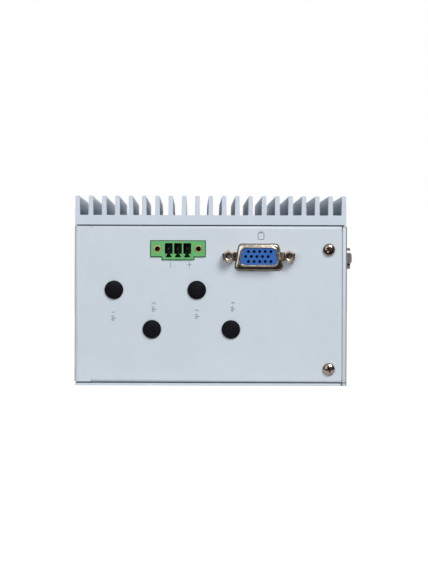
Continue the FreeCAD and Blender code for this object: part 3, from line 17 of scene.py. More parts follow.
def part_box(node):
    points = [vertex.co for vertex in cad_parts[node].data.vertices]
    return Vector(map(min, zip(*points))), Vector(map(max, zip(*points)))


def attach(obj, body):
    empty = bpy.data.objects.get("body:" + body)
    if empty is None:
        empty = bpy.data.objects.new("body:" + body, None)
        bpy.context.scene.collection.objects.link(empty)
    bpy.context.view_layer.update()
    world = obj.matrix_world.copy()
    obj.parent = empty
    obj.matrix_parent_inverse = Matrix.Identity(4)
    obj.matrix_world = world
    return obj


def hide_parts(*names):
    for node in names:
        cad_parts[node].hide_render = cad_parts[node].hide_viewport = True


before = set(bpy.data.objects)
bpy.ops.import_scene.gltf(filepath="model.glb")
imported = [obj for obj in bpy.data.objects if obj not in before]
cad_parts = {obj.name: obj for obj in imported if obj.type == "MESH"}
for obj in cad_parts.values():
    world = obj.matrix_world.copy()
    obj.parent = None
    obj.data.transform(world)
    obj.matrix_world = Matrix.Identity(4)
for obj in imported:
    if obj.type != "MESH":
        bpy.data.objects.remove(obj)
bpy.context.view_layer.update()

MM = 0.001
CHASSIS = "chassis"
NEAR_WALL = -77.5
FAR_WALL = 77.5
LID_HALF_WIDTH = 56.0
FIN_ROOT_LEVEL = 70.5       # top of the lid's base
ROUND_CORNER_SEGMENTS = 8   # edges to each corner of a D-shaped outline
QUARTER = (0, 30, 60, 90)   # degrees of the rings along a rounded edge
SAME_PLACE = 1e-6           # metres within which two corners are one
FLAT_ANGLE = 0.5            # degrees below which two faces are one
EDGE_ANGLE = 35.0           # degrees above which an edge is softened
CREASE_ANGLE = 40.0         # degrees above which an edge of a new piece is shaded sharp
CLOUD_RANGE = (0.35, 0.65)  # of the noise that mixes the tones
GLOSS_RANGE = (0.3, 0.7)    # of the noise that varies the gloss
LOG = logging.getLogger("industrial_computer")

Point = Tuple[float, float, float]
Pair = Tuple[float, float]
Rows = Tuple[Tuple[Any, ...], ...]
Piece = bpy.types.Object
Tree = bpy.types.NodeTree
Socket = bpy.types.NodeSocket


# ---- Colour and nodes ----

def linear(colour: str) -> Tuple[float, float, float, float]:
    """Turns an sRGB hex colour to linear values.

    Args:
        colour: the colour as "#rrggbb".

    Returns:
        Red, green, blue and a full alpha.
    """
    values = [int(colour[start:start + 2], 16) / 255 for start in (1, 3, 5)]
    red, green, blue = [value / 12.92 if value <= 0.04045 else ((value + 0.055) / 1.055) ** 2.4
                        for value in values]
    return red, green, blue, 1.0


def add_node(tree: Tree, kind: str, inputs: Optional[Dict[Any, Any]] = None,
             **settings: Any) -> bpy.types.Node:
    """Adds a node with its settings and its links.

    Args:
        tree: the node tree that takes it.
        kind: the node's type name.
        inputs: a value or another node's output for each input, by name or number.
        settings: properties of the node itself.

    Returns:
        The new node.
    """
    node = tree.nodes.new(kind)
    for name, value in settings.items():
        setattr(node, name, value)
    for name, value in (inputs or {}).items():
        if isinstance(value, Socket):
            tree.links.new(value, node.inputs[name])
        else:
            node.inputs[name].default_value = value
    return node


def new_material(name: str) -> bpy.types.Material:
    """Makes a material whose tree is still empty.

    Args:
        name: the material's name.

    Returns:
        The material.
    """
    made = bpy.data.materials.new(name)
    made.use_nodes = True
    made.node_tree.nodes.clear()
    return made


def to_the_eye(tree: Tree) -> Socket:
    """Tells the rays that are seen, straight or by way of a mirror or glass, from those that light.

    Args:
        tree: the node tree.

    Returns:
        1 for the rays that are seen, 0 for the rest.
    """
    rays = add_node(tree, "ShaderNodeLightPath")
    seen = rays.outputs["Is Camera Ray"]
    for kind in ("Is Glossy Ray", "Is Transmission Ray"):
        seen = add_node(tree, "ShaderNodeMath", {0: seen, 1: rays.outputs[kind]},
                        operation="MAXIMUM").outputs[0]
    return seen


# ---- Finishes ----

@dataclass(frozen=True)
class Finish:
    """A surface as its maker leaves it: body colour, a faint second tone, gloss and grain.

    The second tone and the grain are noise on Object coordinates. Their sizes are in millimetres.
    """

    name: str
    colour: str
    tone: str
    tone_size: float = 6.0
    metallic: float = 0.0
    roughness: float = 0.5
    roughness_spread: float = 0.06
    grain_size: float = 0.5
    grain_depth: float = 0.01
    stretch: Point = (1.0, 1.0, 1.0)
    coat: float = 0.0
    coat_roughness: float = 0.1
    ior: float = 1.5
    specular: float = 0.5
    transmission: float = 0.0

    def material(self) -> bpy.types.Material:
        """Builds the material, once.

        Returns:
            The material of this finish.
        """
        made = bpy.data.materials.get(self.name)
        if made:
            return made
        made = new_material(self.name)
        tree = made.node_tree
        place = add_node(tree, "ShaderNodeTexCoord").outputs["Object"]
        spot = add_node(tree, "ShaderNodeMapping", {"Vector": place, "Scale": self.stretch})
        shader = add_node(tree, "ShaderNodeBsdfPrincipled", {
            "Base Color": self.tones(tree, spot.outputs["Vector"]),
            "Metallic": self.metallic,
            "Roughness": self.gloss(tree, spot.outputs["Vector"]),
            "Normal": self.grain(tree, spot.outputs["Vector"]),
            "Coat Weight": self.coat,
            "Coat Roughness": self.coat_roughness,
            "Specular IOR Level": self.specular,
            "Transmission Weight": self.transmission,
        })
        if not self.metallic:
            shader.inputs["IOR"].default_value = self.ior
        add_node(tree, "ShaderNodeOutputMaterial", {"Surface": shader.outputs["BSDF"]})
        return made

    def tones(self, tree: Tree, spot: Socket) -> Socket:
        """Mixes the two tones in soft clouds.

        Args:
            tree: the material's node tree.
            spot: where on the piece.

        Returns:
            The colour.
        """
        cloud = add_node(tree, "ShaderNodeTexNoise", {
            "Vector": spot, "Scale": 1 / (self.tone_size * MM), "Detail": 3.0})
        low, high = CLOUD_RANGE
        share = add_node(tree, "ShaderNodeMapRange", {
            "Value": cloud.outputs["Fac"], "From Min": low, "From Max": high})
        mix = add_node(tree, "ShaderNodeMix", {
            "Factor": share.outputs["Result"], 6: linear(self.colour), 7: linear(self.tone)},
            data_type="RGBA")
        return mix.outputs[2]

    def gloss(self, tree: Tree, spot: Socket) -> Socket:
        """Spreads the roughness about its middle value.

        Args:
            tree: the material's node tree.
            spot: where on the piece.

        Returns:
            The roughness.
        """
        noise = add_node(tree, "ShaderNodeTexNoise", {
            "Vector": spot, "Scale": 1 / (3 * self.grain_size * MM), "Detail": 2.0})
        low, high = GLOSS_RANGE
        spread = add_node(tree, "ShaderNodeMapRange", {
            "Value": noise.outputs["Fac"], "From Min": low, "From Max": high,
            "To Min": self.roughness - self.roughness_spread,
            "To Max": self.roughness + self.roughness_spread})
        return spread.outputs["Result"]

    def grain(self, tree: Tree, spot: Socket) -> Socket:
        """Raises the grain of the surface.

        Args:
            tree: the material's node tree.
            spot: where on the piece.

        Returns:
            The normal.
        """
        height = add_node(tree, "ShaderNodeTexNoise", {
            "Vector": spot, "Scale": 1 / (self.grain_size * MM), "Detail": 2.0})
        bump = add_node(tree, "ShaderNodeBump", {
            "Height": height.outputs["Fac"], "Distance": self.grain_depth * MM, "Strength": 1.0})
        return bump.outputs["Normal"]


@dataclass(frozen=True)
class Metal(Finish):
    """A plated or bare metal, its grain finer than paint's."""

    tone_size: float = 1.5
    metallic: float = 1.0
    grain_size: float = 0.15
    grain_depth: float = 0.002


@dataclass(frozen=True)
class PebbledMoulding(Finish):
    """Plastic from a spark-eroded mould: small round pebbles close together."""

    def grain(self, tree: Tree, spot: Socket) -> Socket:
        """Raises one pebble to each cell.

        Args:
            tree: the material's node tree.
            spot: where on the piece.

        Returns:
            The normal.
        """
        cells = add_node(tree, "ShaderNodeTexVoronoi", {
            "Vector": spot, "Scale": 1 / (self.grain_size * MM), "Smoothness": 0.6},
            feature="SMOOTH_F1")
        bump = add_node(tree, "ShaderNodeBump", {
            "Height": cells.outputs["Distance"], "Distance": self.grain_depth * MM,
            "Strength": 1.0}, invert=True)
        return bump.outputs["Normal"]


@dataclass(frozen=True)
class Joint:
    """A narrow gap between two sheets, where the paint is darkened with painted shade.

    It lies across one axis: its middle and half its width there, in millimetres, and the share
    of light that the paint in it keeps.
    """

    axis: str
    middle: float
    half: float
    kept: float


@dataclass(frozen=True)
class JointedPaint(Finish):
    """Paint on folded sheet, with painted shade in the joints between the sheets."""

    joints: Tuple[Joint, ...] = ()
    # The colour of the painted shade in the joints.
    dust: str = "#101214"

    def tones(self, tree: Tree, spot: Socket) -> Socket:
        """Paints shade over the two tones within each joint.

        Args:
            tree: the material's node tree.
            spot: where on the piece.

        Returns:
            The colour.
        """
        parts = add_node(tree, "ShaderNodeSeparateXYZ", {"Vector": spot})
        colour = super().tones(tree, spot)
        for joint in self.joints:
            off = add_node(tree, "ShaderNodeMath", {0: parts.outputs[joint.axis],
                                                    1: joint.middle * MM}, operation="SUBTRACT")
            off = add_node(tree, "ShaderNodeMath", {0: off.outputs[0]}, operation="ABSOLUTE")
            share = add_node(tree, "ShaderNodeMapRange", {
                "Value": off.outputs[0], "From Min": joint.half / 2 * MM,
                "From Max": joint.half * MM, "To Min": joint.kept})
            mix = add_node(tree, "ShaderNodeMix", {
                "Factor": share.outputs["Result"], 6: linear(self.dust), 7: colour},
                data_type="RGBA")
            colour = mix.outputs[2]
        return colour


@dataclass(frozen=True)
class FinnedPaint(Finish):
    """Paint on a finned lid, with painted shade that greys it low down between the fins."""

    clear: float = 77.5
    skin: Pair = (0.4, 0.15)
    # The colour of the painted shade at the fins' roots.
    kept: str = "#a3acb6"

    def tones(self, tree: Tree, spot: Socket) -> Socket:
        """Paints shade over the two tones towards the fins' roots, but not on outer faces.

        Args:
            tree: the material's node tree.
            spot: where on the piece.

        Returns:
            The colour.
        """
        place = add_node(tree, "ShaderNodeTexCoord").outputs["Object"]
        parts = add_node(tree, "ShaderNodeSeparateXYZ", {"Vector": place})
        share = add_node(tree, "ShaderNodeMapRange", {
            "Value": parts.outputs["Z"], "From Min": FIN_ROOT_LEVEL * MM,
            "From Max": self.clear * MM})
        start, full = self.skin
        for axis, reach in (("X", LID_HALF_WIDTH), ("Y", FAR_WALL)):
            off = add_node(tree, "ShaderNodeMath", {0: parts.outputs[axis]}, operation="ABSOLUTE")
            outer = add_node(tree, "ShaderNodeMapRange", {
                "Value": off.outputs[0], "From Min": (reach - start) * MM,
                "From Max": (reach - full) * MM})
            share = add_node(tree, "ShaderNodeMath", {0: share.outputs[0], 1: outer.outputs[0]},
                             operation="MAXIMUM")
        mix = add_node(tree, "ShaderNodeMix", {
            "Factor": share.outputs[0], 6: linear(self.kept), 7: super().tones(tree, spot)},
            data_type="RGBA")
        return mix.outputs[2]


@dataclass(frozen=True)
class Recessed(Finish):
    """Moulding whose cavities run deep, with painted shade that darkens the colour behind its face.
    """

    face: float = 0.0
    fade: float = 1.5
    # The colour of the painted shade deep in the cavities.
    shade: str = "#030a05"

    def tones(self, tree: Tree, spot: Socket) -> Socket:
        """Paints shade over the two tones with the way in from the face, along y.

        Args:
            tree: the material's node tree.
            spot: where on the piece.

        Returns:
            The colour.
        """
        parts = add_node(tree, "ShaderNodeSeparateXYZ", {"Vector": spot})
        share = add_node(tree, "ShaderNodeMapRange", {
            "Value": parts.outputs["Y"], "From Min": self.face * MM,
            "From Max": (self.face + self.fade) * MM})
        mix = add_node(tree, "ShaderNodeMix", {
            "Factor": share.outputs["Result"], 6: super().tones(tree, spot),
            7: linear(self.shade)}, data_type="RGBA")
        return mix.outputs[2]


class Finishes(Enum):
    """Every finish on the computer."""

    # Polyester powder coat, satin, sprayed and baked on steel sheet: an even pale blue-grey skin
    # with a faint orange peel and soft, wide highlights. Its joints carry painted shade: the gap
    # under the lid, the one over the bottom cover, the seam beside the port panel and the panel's
    # folded edge, where the bend turns from the light.
    SHEET_PAINT = JointedPaint(
        "satin_powder_coat_on_steel", "#c9d3dc", "#c7d1da", 9.0, roughness=0.46, grain_size=0.7,
        grain_depth=0.006, joints=(Joint("Z", 66.45, 0.6, 0.02), Joint("Z", 1.4, 0.4, 0.4),
                                   Joint("X", 54.45, 0.28, 0.5), Joint("X", 56.18, 0.22, 0.05)))
    # The same coat on the extruded aluminium lid, a shade bluer, over the die's fine lines, with
    # painted shade low down between the fins.
    SINK_PAINT = FinnedPaint("satin_powder_coat_on_extrusion", "#c8d3df", "#c5d0dc", 9.0,
                             roughness=0.46, grain_size=0.6, grain_depth=0.007,
                             stretch=(1.0, 0.12, 1.0))
    # Nickel on turned steel: warm grey, bright, with soft turning marks, its colour darkened as
    # painted shade on the screw heads.
    NICKEL = Metal("nickel_plated_steel", "#8d8077", "#756961", roughness=0.16,
                   roughness_spread=0.05, grain_size=0.25, grain_depth=0.003)
    # The same plating on the display socket's jackscrews, paler and a little duller.
    JACK_NICKEL = Metal("nickel_plated_jackscrew_steel", "#bfb2a8", "#a89a90", roughness=0.25,
                        roughness_spread=0.05, grain_size=0.25, grain_depth=0.003)
    # The same plating on the serial port, darkened to grey as painted shade.
    GREY_NICKEL = Metal("shaded_nickel_plated_steel", "#6d6a69", "#5c5958", roughness=0.22,
                        roughness_spread=0.05, grain_size=0.3)
    # Nickel on drawn shells: paler and browner than the screws.
    SHELL_NICKEL = Metal("nickel_plated_drawn_steel", "#b8aea4", "#a69b91", 2.0, roughness=0.19,
                         roughness_spread=0.05, grain_size=0.3)
    # Bright zinc on fasteners: cool grey with a cloudy spangle.
    ZINC = Metal("bright_zinc_plated_steel", "#b4b8bd", "#a2a7ad", 1.2, roughness=0.34,
                 grain_size=0.2, grain_depth=0.003)
    # Turned brass, left bare: yellow with fine tool rings.
    BRASS = Metal("turned_brass", "#dcc294", "#c9a974", 1.0, roughness=0.36, grain_depth=0.004)
    # Nickel on brass spacers.
    SPACER_NICKEL = Metal("nickel_plated_brass", "#b3aa98", "#a0967f", roughness=0.3,
                          grain_size=0.2, grain_depth=0.003)
    # Gold flash on contact tips.
    GOLD = Metal("gold_flashed_contact", "#d2a95a", "#c0964a", 0.8, roughness=0.24)
    # Contacts deep in their cavities, dark grey: painted shade in place of their plating's colour.
    DEEP_CONTACT = Metal("shaded_recessed_contact", "#4a4f4c", "#3c413e", 0.8, roughness=0.4)
    # Milled bare aluminium: fine parallel cutter lines.
    BARE_ALUMINIUM = Metal("milled_aluminium", "#c4c6ca", "#b3b5b9", 2.0, roughness=0.34,
                           grain_size=0.2, grain_depth=0.004, stretch=(1.0, 0.08, 1.0))
    # Green PBT of pluggable terminal headers: satin gloss, slightly milky, with painted shade in
    # its cavities.
    HEADER_GREEN = Recessed("green_pbt_moulding", "#62b46c", "#5aac64", 3.0, roughness=0.38,
                            grain_size=0.3, grain_depth=0.004, face=-78.2, fade=0.7)
    # Blue PBT of display sockets, with painted shade in its holes.
    INSERT_BLUE = Recessed("blue_pbt_moulding", "#2a63b0", "#245ca8", 3.0, roughness=0.42,
                           grain_size=0.3, grain_depth=0.003, specular=0.35, face=-81.95,
                           fade=0.6, shade="#00061c")
    # Black nylon of the snap-in plugs: low sheen over a pebbled grain, drawn coarse enough to show.
    PLUG_BLACK = PebbledMoulding("black_nylon_moulding", "#111117", "#0d0d13", 2.0, roughness=0.6,
                                 grain_size=0.45, grain_depth=0.02, specular=0.08)
    # Glass-filled black of sockets and holders.
    SOCKET_BLACK = Finish("black_glass_filled_moulding", "#1b1b1d", "#222225", 1.0, roughness=0.5,
                          grain_size=0.2, grain_depth=0.006)
    # Dark grey ABS of the button cap.
    BUTTON_GREY = PebbledMoulding("dark_grey_abs_moulding", "#2b2d31", "#28292d", 2.0,
                                  roughness=0.45, grain_size=0.3, grain_depth=0.01)
    # Green solder mask over glass-epoxy: glossy, with the weave showing faintly.
    SOLDER_MASK = Finish("green_solder_mask", "#1f5a34", "#1a4f2d", 1.0, roughness=0.3,
                         grain_size=0.5, grain_depth=0.004, coat=0.3)
    # Black epoxy of chip packages.
    CHIP_BLACK = Finish("black_epoxy_package", "#222224", "#29292b", 0.6, roughness=0.6,
                        grain_size=0.1, grain_depth=0.004)
    # Grey filled silicone of the thermal pad.
    PAD_GREY = Finish("grey_filled_silicone", "#7d828b", "#757a83", 1.5, roughness=0.75,
                      grain_size=0.3, grain_depth=0.01)
    # Black PVC of the flat drive cable.
    CABLE_BLACK = Finish("black_pvc_insulation", "#1e1e20", "#18181a", 3.0, roughness=0.55,
                         grain_size=0.4, grain_depth=0.01)
    # Clear acrylic light pipes, over diodes that are off.
    CLEAR_PIPE = Finish("clear_acrylic", "#dfe6e6", "#d9e1e1", 2.0, roughness=0.12,
                        roughness_spread=0.02, grain_size=0.5, grain_depth=0.001,
                        ior=1.49, transmission=0.6)
    # Tinted, milky windows in the network jacks.
    GREEN_PIPE = Finish("tinted_light_window", "#8fc487", "#86bb7e", 1.0, roughness=0.25,
                        grain_size=0.3, grain_depth=0.002, ior=1.49, transmission=0.3)
    # Grey two-part screen ink, matt, a few hundredths thick.
    PRINT_GREY = Finish("grey_screen_ink", "#6f767d", "#7a8188", 0.8, roughness=0.7,
                        grain_size=0.15, grain_depth=0.003)


# ---- Modelling by hand ----

def deselect_all() -> None:
    """Leaves edit mode and lets go of every object."""
    if bpy.context.object and bpy.context.object.mode != "OBJECT":
        bpy.ops.object.mode_set(mode="OBJECT")
    bpy.ops.object.select_all(action="DESELECT")


def take(piece: Piece) -> None:
    """Selects one object alone and makes it active.

    Args:
        piece: the object.
    """
    deselect_all()
    piece.select_set(True)
    bpy.context.view_layer.objects.active = piece


def square(name: str, side: float = 1.0) -> Piece:
    """Adds a square that lies flat about the origin.

    Args:
        name: its name.
        side: its side, in metres.

    Returns:
        The square.
    """
    deselect_all()
    bpy.ops.mesh.primitive_plane_add(size=side)
    made = bpy.context.object
    made.name = name
    return made


def pick(piece: Piece, test: Callable[[Vector], bool]) -> None:
    """Selects the corners that pass a test, and no others, and stays in edit mode.

    Args:
        piece: the active object.
        test: takes a corner's place, in metres.
    """
    bpy.ops.object.mode_set(mode="EDIT")
    bpy.ops.mesh.select_all(action="DESELECT")
    bpy.ops.object.mode_set(mode="OBJECT")
    for vertex in piece.data.vertices:
        vertex.select = test(vertex.co)
    bpy.ops.object.mode_set(mode="EDIT")


def lathe(name: str, steps: Sequence[Pair], sides: int = 48) -> Piece:
    """Turns a closed solid about the upright axis: a disc that is extruded and scaled.

    Args:
        name: the name of the new object.
        steps: radius and height of each ring, in millimetres, from the lower disc up.
        sides: corners of each ring.

    Returns:
        The solid, standing on the origin's axis.
    """
    deselect_all()
    radius, height = steps[0]
    bpy.ops.mesh.primitive_circle_add(vertices=sides, radius=radius * MM, fill_type="NGON",
                                      location=(0, 0, height * MM))
    piece = bpy.context.object
    piece.name = name
    bpy.ops.object.transform_apply(location=True, rotation=True, scale=True)
    bpy.ops.object.mode_set(mode="EDIT")
    bpy.ops.mesh.select_all(action="SELECT")
    for next_radius, next_height in steps[1:]:
        bpy.ops.mesh.extrude_region_move(
            TRANSFORM_OT_translate={"value": (0, 0, (next_height - height) * MM)})
        if next_radius != radius:
            share = next_radius / radius
            bpy.ops.transform.resize(value=(share, share, 1),
                                     center_override=(0, 0, next_height * MM))
        radius, height = next_radius, next_height
    bpy.ops.mesh.select_all(action="SELECT")
    bpy.ops.mesh.normals_make_consistent(inside=False)
    bpy.ops.object.mode_set(mode="OBJECT")
    return piece


def apply_modifier(piece: Piece, kind: str, **settings: Any) -> None:
    """Adds a modifier and applies it.

    Args:
        piece: the object.
        kind: the modifier's type.
        settings: its properties.
    """
    take(piece)
    modifier = piece.modifiers.new(kind.title(), kind)
    for name, value in settings.items():
        setattr(modifier, name, value)
    bpy.ops.object.modifier_apply(modifier=modifier.name)


def carve(piece: Piece, tool: Piece, operation: str = "DIFFERENCE") -> Piece:
    """Cuts a piece with a tool, or keeps what both share, and clears the tool away.

    Args:
        piece: the object.
        tool: the cutter.
        operation: the boolean's name.

    Returns:
        The piece.
    """
    apply_modifier(piece, "BOOLEAN", object=tool, operation=operation, solver="EXACT")
    bpy.data.objects.remove(tool)
    return piece


def smooth(piece: Piece, degrees: float) -> Piece:
    """Shades a piece smooth, but for its sharper edges.

    Args:
        piece: the object.
        degrees: the angle past which an edge stays sharp.

    Returns:
        The same object.
    """
    take(piece)
    bpy.ops.object.shade_smooth_by_angle(angle=math.radians(degrees))
    return piece


@dataclass(frozen=True)
class Ring:
    """A D-shaped outline at one height, its wide side down and its corners rounded."""

    width: float
    height: float
    radius: float
    level: float = 0.0
    sag: float = 0.0
    slant: float = 10.0

    def grown(self, grow: float, level: float, skew: float = 1.0) -> "Ring":
        """Gives an outline all round this one, or all round inside it, at another height.

        Args:
            grow: how far outside it lies above and below.
            level: its height.
            skew: that distance over the one by which it lies outside at the sides.

        Returns:
            The outline.
        """
        return replace(self, width=self.width + 2 * grow / skew, height=self.height + 2 * grow,
                       radius=self.radius + grow, level=level)

    def outline(self) -> Piece:
        """Draws the outline as a closed loop of edges.

        Returns:
            The loop, alone in its object.
        """
        loop = square("outline")
        bpy.ops.object.mode_set(mode="EDIT")
        bpy.ops.transform.resize(value=(self.width * MM, self.height * MM, 1),
                                 center_override=(0, 0, 0))
        narrow = 1 - 2 * self.height * math.tan(math.radians(self.slant)) / self.width
        edge = self.height / 2 * MM - SAME_PLACE
        for side in (1, -1):
            pick(loop, lambda place: place.y * side > edge)
            if side == 1:
                bpy.ops.transform.resize(value=(narrow, 1, 1), center_override=(0, 0, 0))
            lean = math.radians(45 + side * self.slant / 2)
            bpy.ops.mesh.bevel(offset=self.radius / math.tan(lean) * MM,
                               segments=ROUND_CORNER_SEGMENTS, profile=0.5, affect="VERTICES")
        bpy.ops.mesh.select_all(action="SELECT")
        bpy.ops.transform.translate(value=(0, -self.sag * MM, self.level * MM))
        bpy.ops.mesh.delete(type="ONLY_FACE")
        bpy.ops.object.mode_set(mode="OBJECT")
        return loop


def join(pieces: Sequence[Piece], name: str) -> Piece:
    """Joins pieces into one.

    Args:
        pieces: the pieces.
        name: the name of the joined piece and its mesh.

    Returns:
        The joined piece.
    """
    deselect_all()
    for piece in pieces:
        piece.select_set(True)
    bpy.context.view_layer.objects.active = pieces[0]
    if len(pieces) > 1:
        bpy.ops.object.join()
    joined = bpy.context.object
    joined.name = name
    joined.data.name = name
    return joined


def loft(name: str, rings: Sequence[Ring]) -> Piece:
    """Bridges each outline to the next, and the last one to the first.

    Args:
        name: the name of the new solid.
        rings: the outlines in order.

    Returns:
        The closed solid.
    """
    bands = []
    for ring, following in zip(rings, list(rings[1:]) + [rings[0]]):
        band = join([ring.outline(), following.outline()], name)
        bpy.ops.object.mode_set(mode="EDIT")
        bpy.ops.mesh.select_all(action="SELECT")
        bpy.ops.mesh.bridge_edge_loops()
        bpy.ops.object.mode_set(mode="OBJECT")
        bands.append(band)
    solid = join(bands, name)
    bpy.ops.object.mode_set(mode="EDIT")
    bpy.ops.mesh.select_all(action="SELECT")
    bpy.ops.mesh.remove_doubles(threshold=SAME_PLACE)
    bpy.ops.mesh.normals_make_consistent(inside=False)
    bpy.ops.object.mode_set(mode="OBJECT")
    return solid


def copy_to(piece: Piece, name: str, places: Iterable[Matrix]) -> Piece:
    """Joins one copy of a piece at each place, and clears the first away.

    Args:
        piece: the model that is repeated.
        name: the name of the joined piece.
        places: where each copy goes, in metres.

    Returns:
        The joined piece, its place in its mesh.
    """
    copies = []
    for place in places:
        twin = piece.copy()
        twin.data = piece.data.copy()
        bpy.context.scene.collection.objects.link(twin)
        twin.data.transform(place)
        copies.append(twin)
    bpy.data.objects.remove(piece)
    return join(copies, name)


def settle(piece: Piece, finish: Finishes, slot: str = "", *nodes: str) -> None:
    """Gives a new piece its finish and its body, and hides the nodes that it stands for.

    Args:
        piece: the new piece, in place.
        finish: its finish.
        slot: not used; the record's material slot, if it has one.
        nodes: the nodes that it replaces.
    """
    piece.data.materials.clear()
    piece.data.materials.append(finish.value.material())
    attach(piece, CHASSIS)
    if nodes:
        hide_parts(*nodes)
    LOG.info("%s: %d faces", piece.name, len(piece.data.polygons))


def dress(name: str, finish: Finishes, edge: float = 0.0) -> None:
    """Gives a node its finish and, where asked, a soft edge.

    Args:
        name: the node.
        finish: its finish.
        edge: width of the softened edges, in millimetres.
    """
    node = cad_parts[name]
    node.data.materials.clear()
    node.data.materials.append(finish.value.material())
    if edge:
        weld = node.modifiers.new("Weld", "WELD")
        weld.merge_threshold = SAME_PLACE
        flat = node.modifiers.new("Flat faces", "DECIMATE")
        flat.decimate_type = "DISSOLVE"
        flat.angle_limit = math.radians(FLAT_ANGLE)
        bevel = node.modifiers.new("Soft edges", "BEVEL")
        bevel.width = edge * MM
        bevel.segments = 2
        bevel.limit_method = "ANGLE"
        bevel.angle_limit = math.radians(EDGE_ANGLE)
        bevel.use_clamp_overlap = False
        bevel.harden_normals = True
    LOG.info("%s: %s", name, finish.value.name)


def centre_of(name: str) -> Vector:
    """Middle of a node's box, in millimetres."""
    low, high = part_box(name)
    return (low + high) / 2 / MM


def out_of_end(x: float, y: float, z: float, spin: float = 0.0) -> Matrix:
    """Puts a piece that stands on z = 0 onto an end wall, pointing out of it.

    Args:
        x: place across the wall, in millimetres.
        y: the wall's outer face, below zero for the near wall.
        z: height.
        spin: turn about the piece's own axis.

    Returns:
        The placement, in metres.
    """
    lean = math.copysign(math.pi / 2, -y)
    return (Matrix.Translation(Vector((x, y, z)) * MM) @ Matrix.Rotation(lean, 4, "X")
            @ Matrix.Rotation(spin, 4, "Z"))


def out_of_panel(x: float, y: float, z: float, spin: float = 0.0) -> Matrix:
    """Puts a piece that stands on z = 0 onto the port panel, its own y axis up.

    Args:
        x: the panel's outer face, in millimetres.
        y: place along the panel.
        z: height.
        spin: turn about the piece's own axis.

    Returns:
        The placement, in metres.
    """
    turned = Matrix(((0, 0, 1, 0), (1, 0, 0, 0), (0, 1, 0, 0), (0, 0, 0, 1)))
    return Matrix.Translation(Vector((x, y, z)) * MM) @ turned @ Matrix.Rotation(spin, 4, "Z")


# ---- The computer ----

@dataclass
class Dressed:
    """CAD pieces that keep their shapes: each row is a finish, a soft edge's width and names."""

    rows: Rows = ()

    def build(self) -> None:
        """Dresses every piece."""
        for finish, edge, *names in self.rows:
            for name in names:
                dress(name, finish, edge)


@dataclass
class Housing(Dressed):
    """The painted lid, walls, port panel and cover, and the fasteners painted with them."""

    rows: Rows = (
        (Finishes.SINK_PAINT, 0.1, "heat_sink"),
        (Finishes.SHEET_PAINT, 0.12, "chassis_wrap", "port_panel", "bottom_cover"),
        (Finishes.SHEET_PAINT, 0.0, "cover_screws", "drive_screws"))


@dataclass
class Sockets(Dressed):
    """The power header and what the two D-shaped shells hold."""

    rows: Rows = (
        (Finishes.HEADER_GREEN, 0.12, "power_header"),
        (Finishes.DEEP_CONTACT, 0.08, "power_header_pins"),
        (Finishes.BRASS, 0.12, "power_header_inserts"),
        (Finishes.INSERT_BLUE, 0.08, "display_insert"),
        (Finishes.DEEP_CONTACT, 0.0, "display_contacts"),
        (Finishes.SOCKET_BLACK, 0.1, "serial_insert"),
        (Finishes.GOLD, 0.0, "serial_pins"))


@dataclass
class FlushPorts(Dressed):
    """Network jacks, USB ports, the power button and the status lights."""

    rows: Rows = (
        (Finishes.SHELL_NICKEL, 0.1, "lan_jack_1", "lan_jack_2", "usb_shell_1", "usb_shell_2"),
        (Finishes.GOLD, 0.0, "lan_contacts"),
        (Finishes.GREEN_PIPE, 0.1, "lan_lights"),
        (Finishes.SOCKET_BLACK, 0.1, "usb_tongues"),
        (Finishes.BUTTON_GREY, 0.1, "power_button"),
        (Finishes.SOCKET_BLACK, 0.0, "power_switch", "light_holder"),
        (Finishes.CLEAR_PIPE, 0.0, "status_lights"))


@dataclass
class Inside(Dressed):
    """The boards, the drive and their fasteners, which the walls hide."""

    rows: Rows = (
        (Finishes.SOLDER_MASK, 0.15, "main_board", "memory_module"),
        (Finishes.SOCKET_BLACK, 0.15, "memory_socket", "coin_cell_holder", "drive_sockets"),
        (Finishes.CHIP_BLACK, 0.15, "processor"),
        (Finishes.PAD_GREY, 0.15, "thermal_pad"),
        (Finishes.BARE_ALUMINIUM, 0.15, "heat_spreader", "storage_drive"),
        (Finishes.NICKEL, 0.15, "coin_cell"),
        (Finishes.CABLE_BLACK, 0.15, "drive_cable"),
        (Finishes.ZINC, 0.0, "heat_sink_screws", "cover_nuts", "panel_nuts", "rail_nuts",
         "board_screws", "spreader_screws"),
        (Finishes.SPACER_NICKEL, 0.0, "board_standoffs", "drive_spacers"))


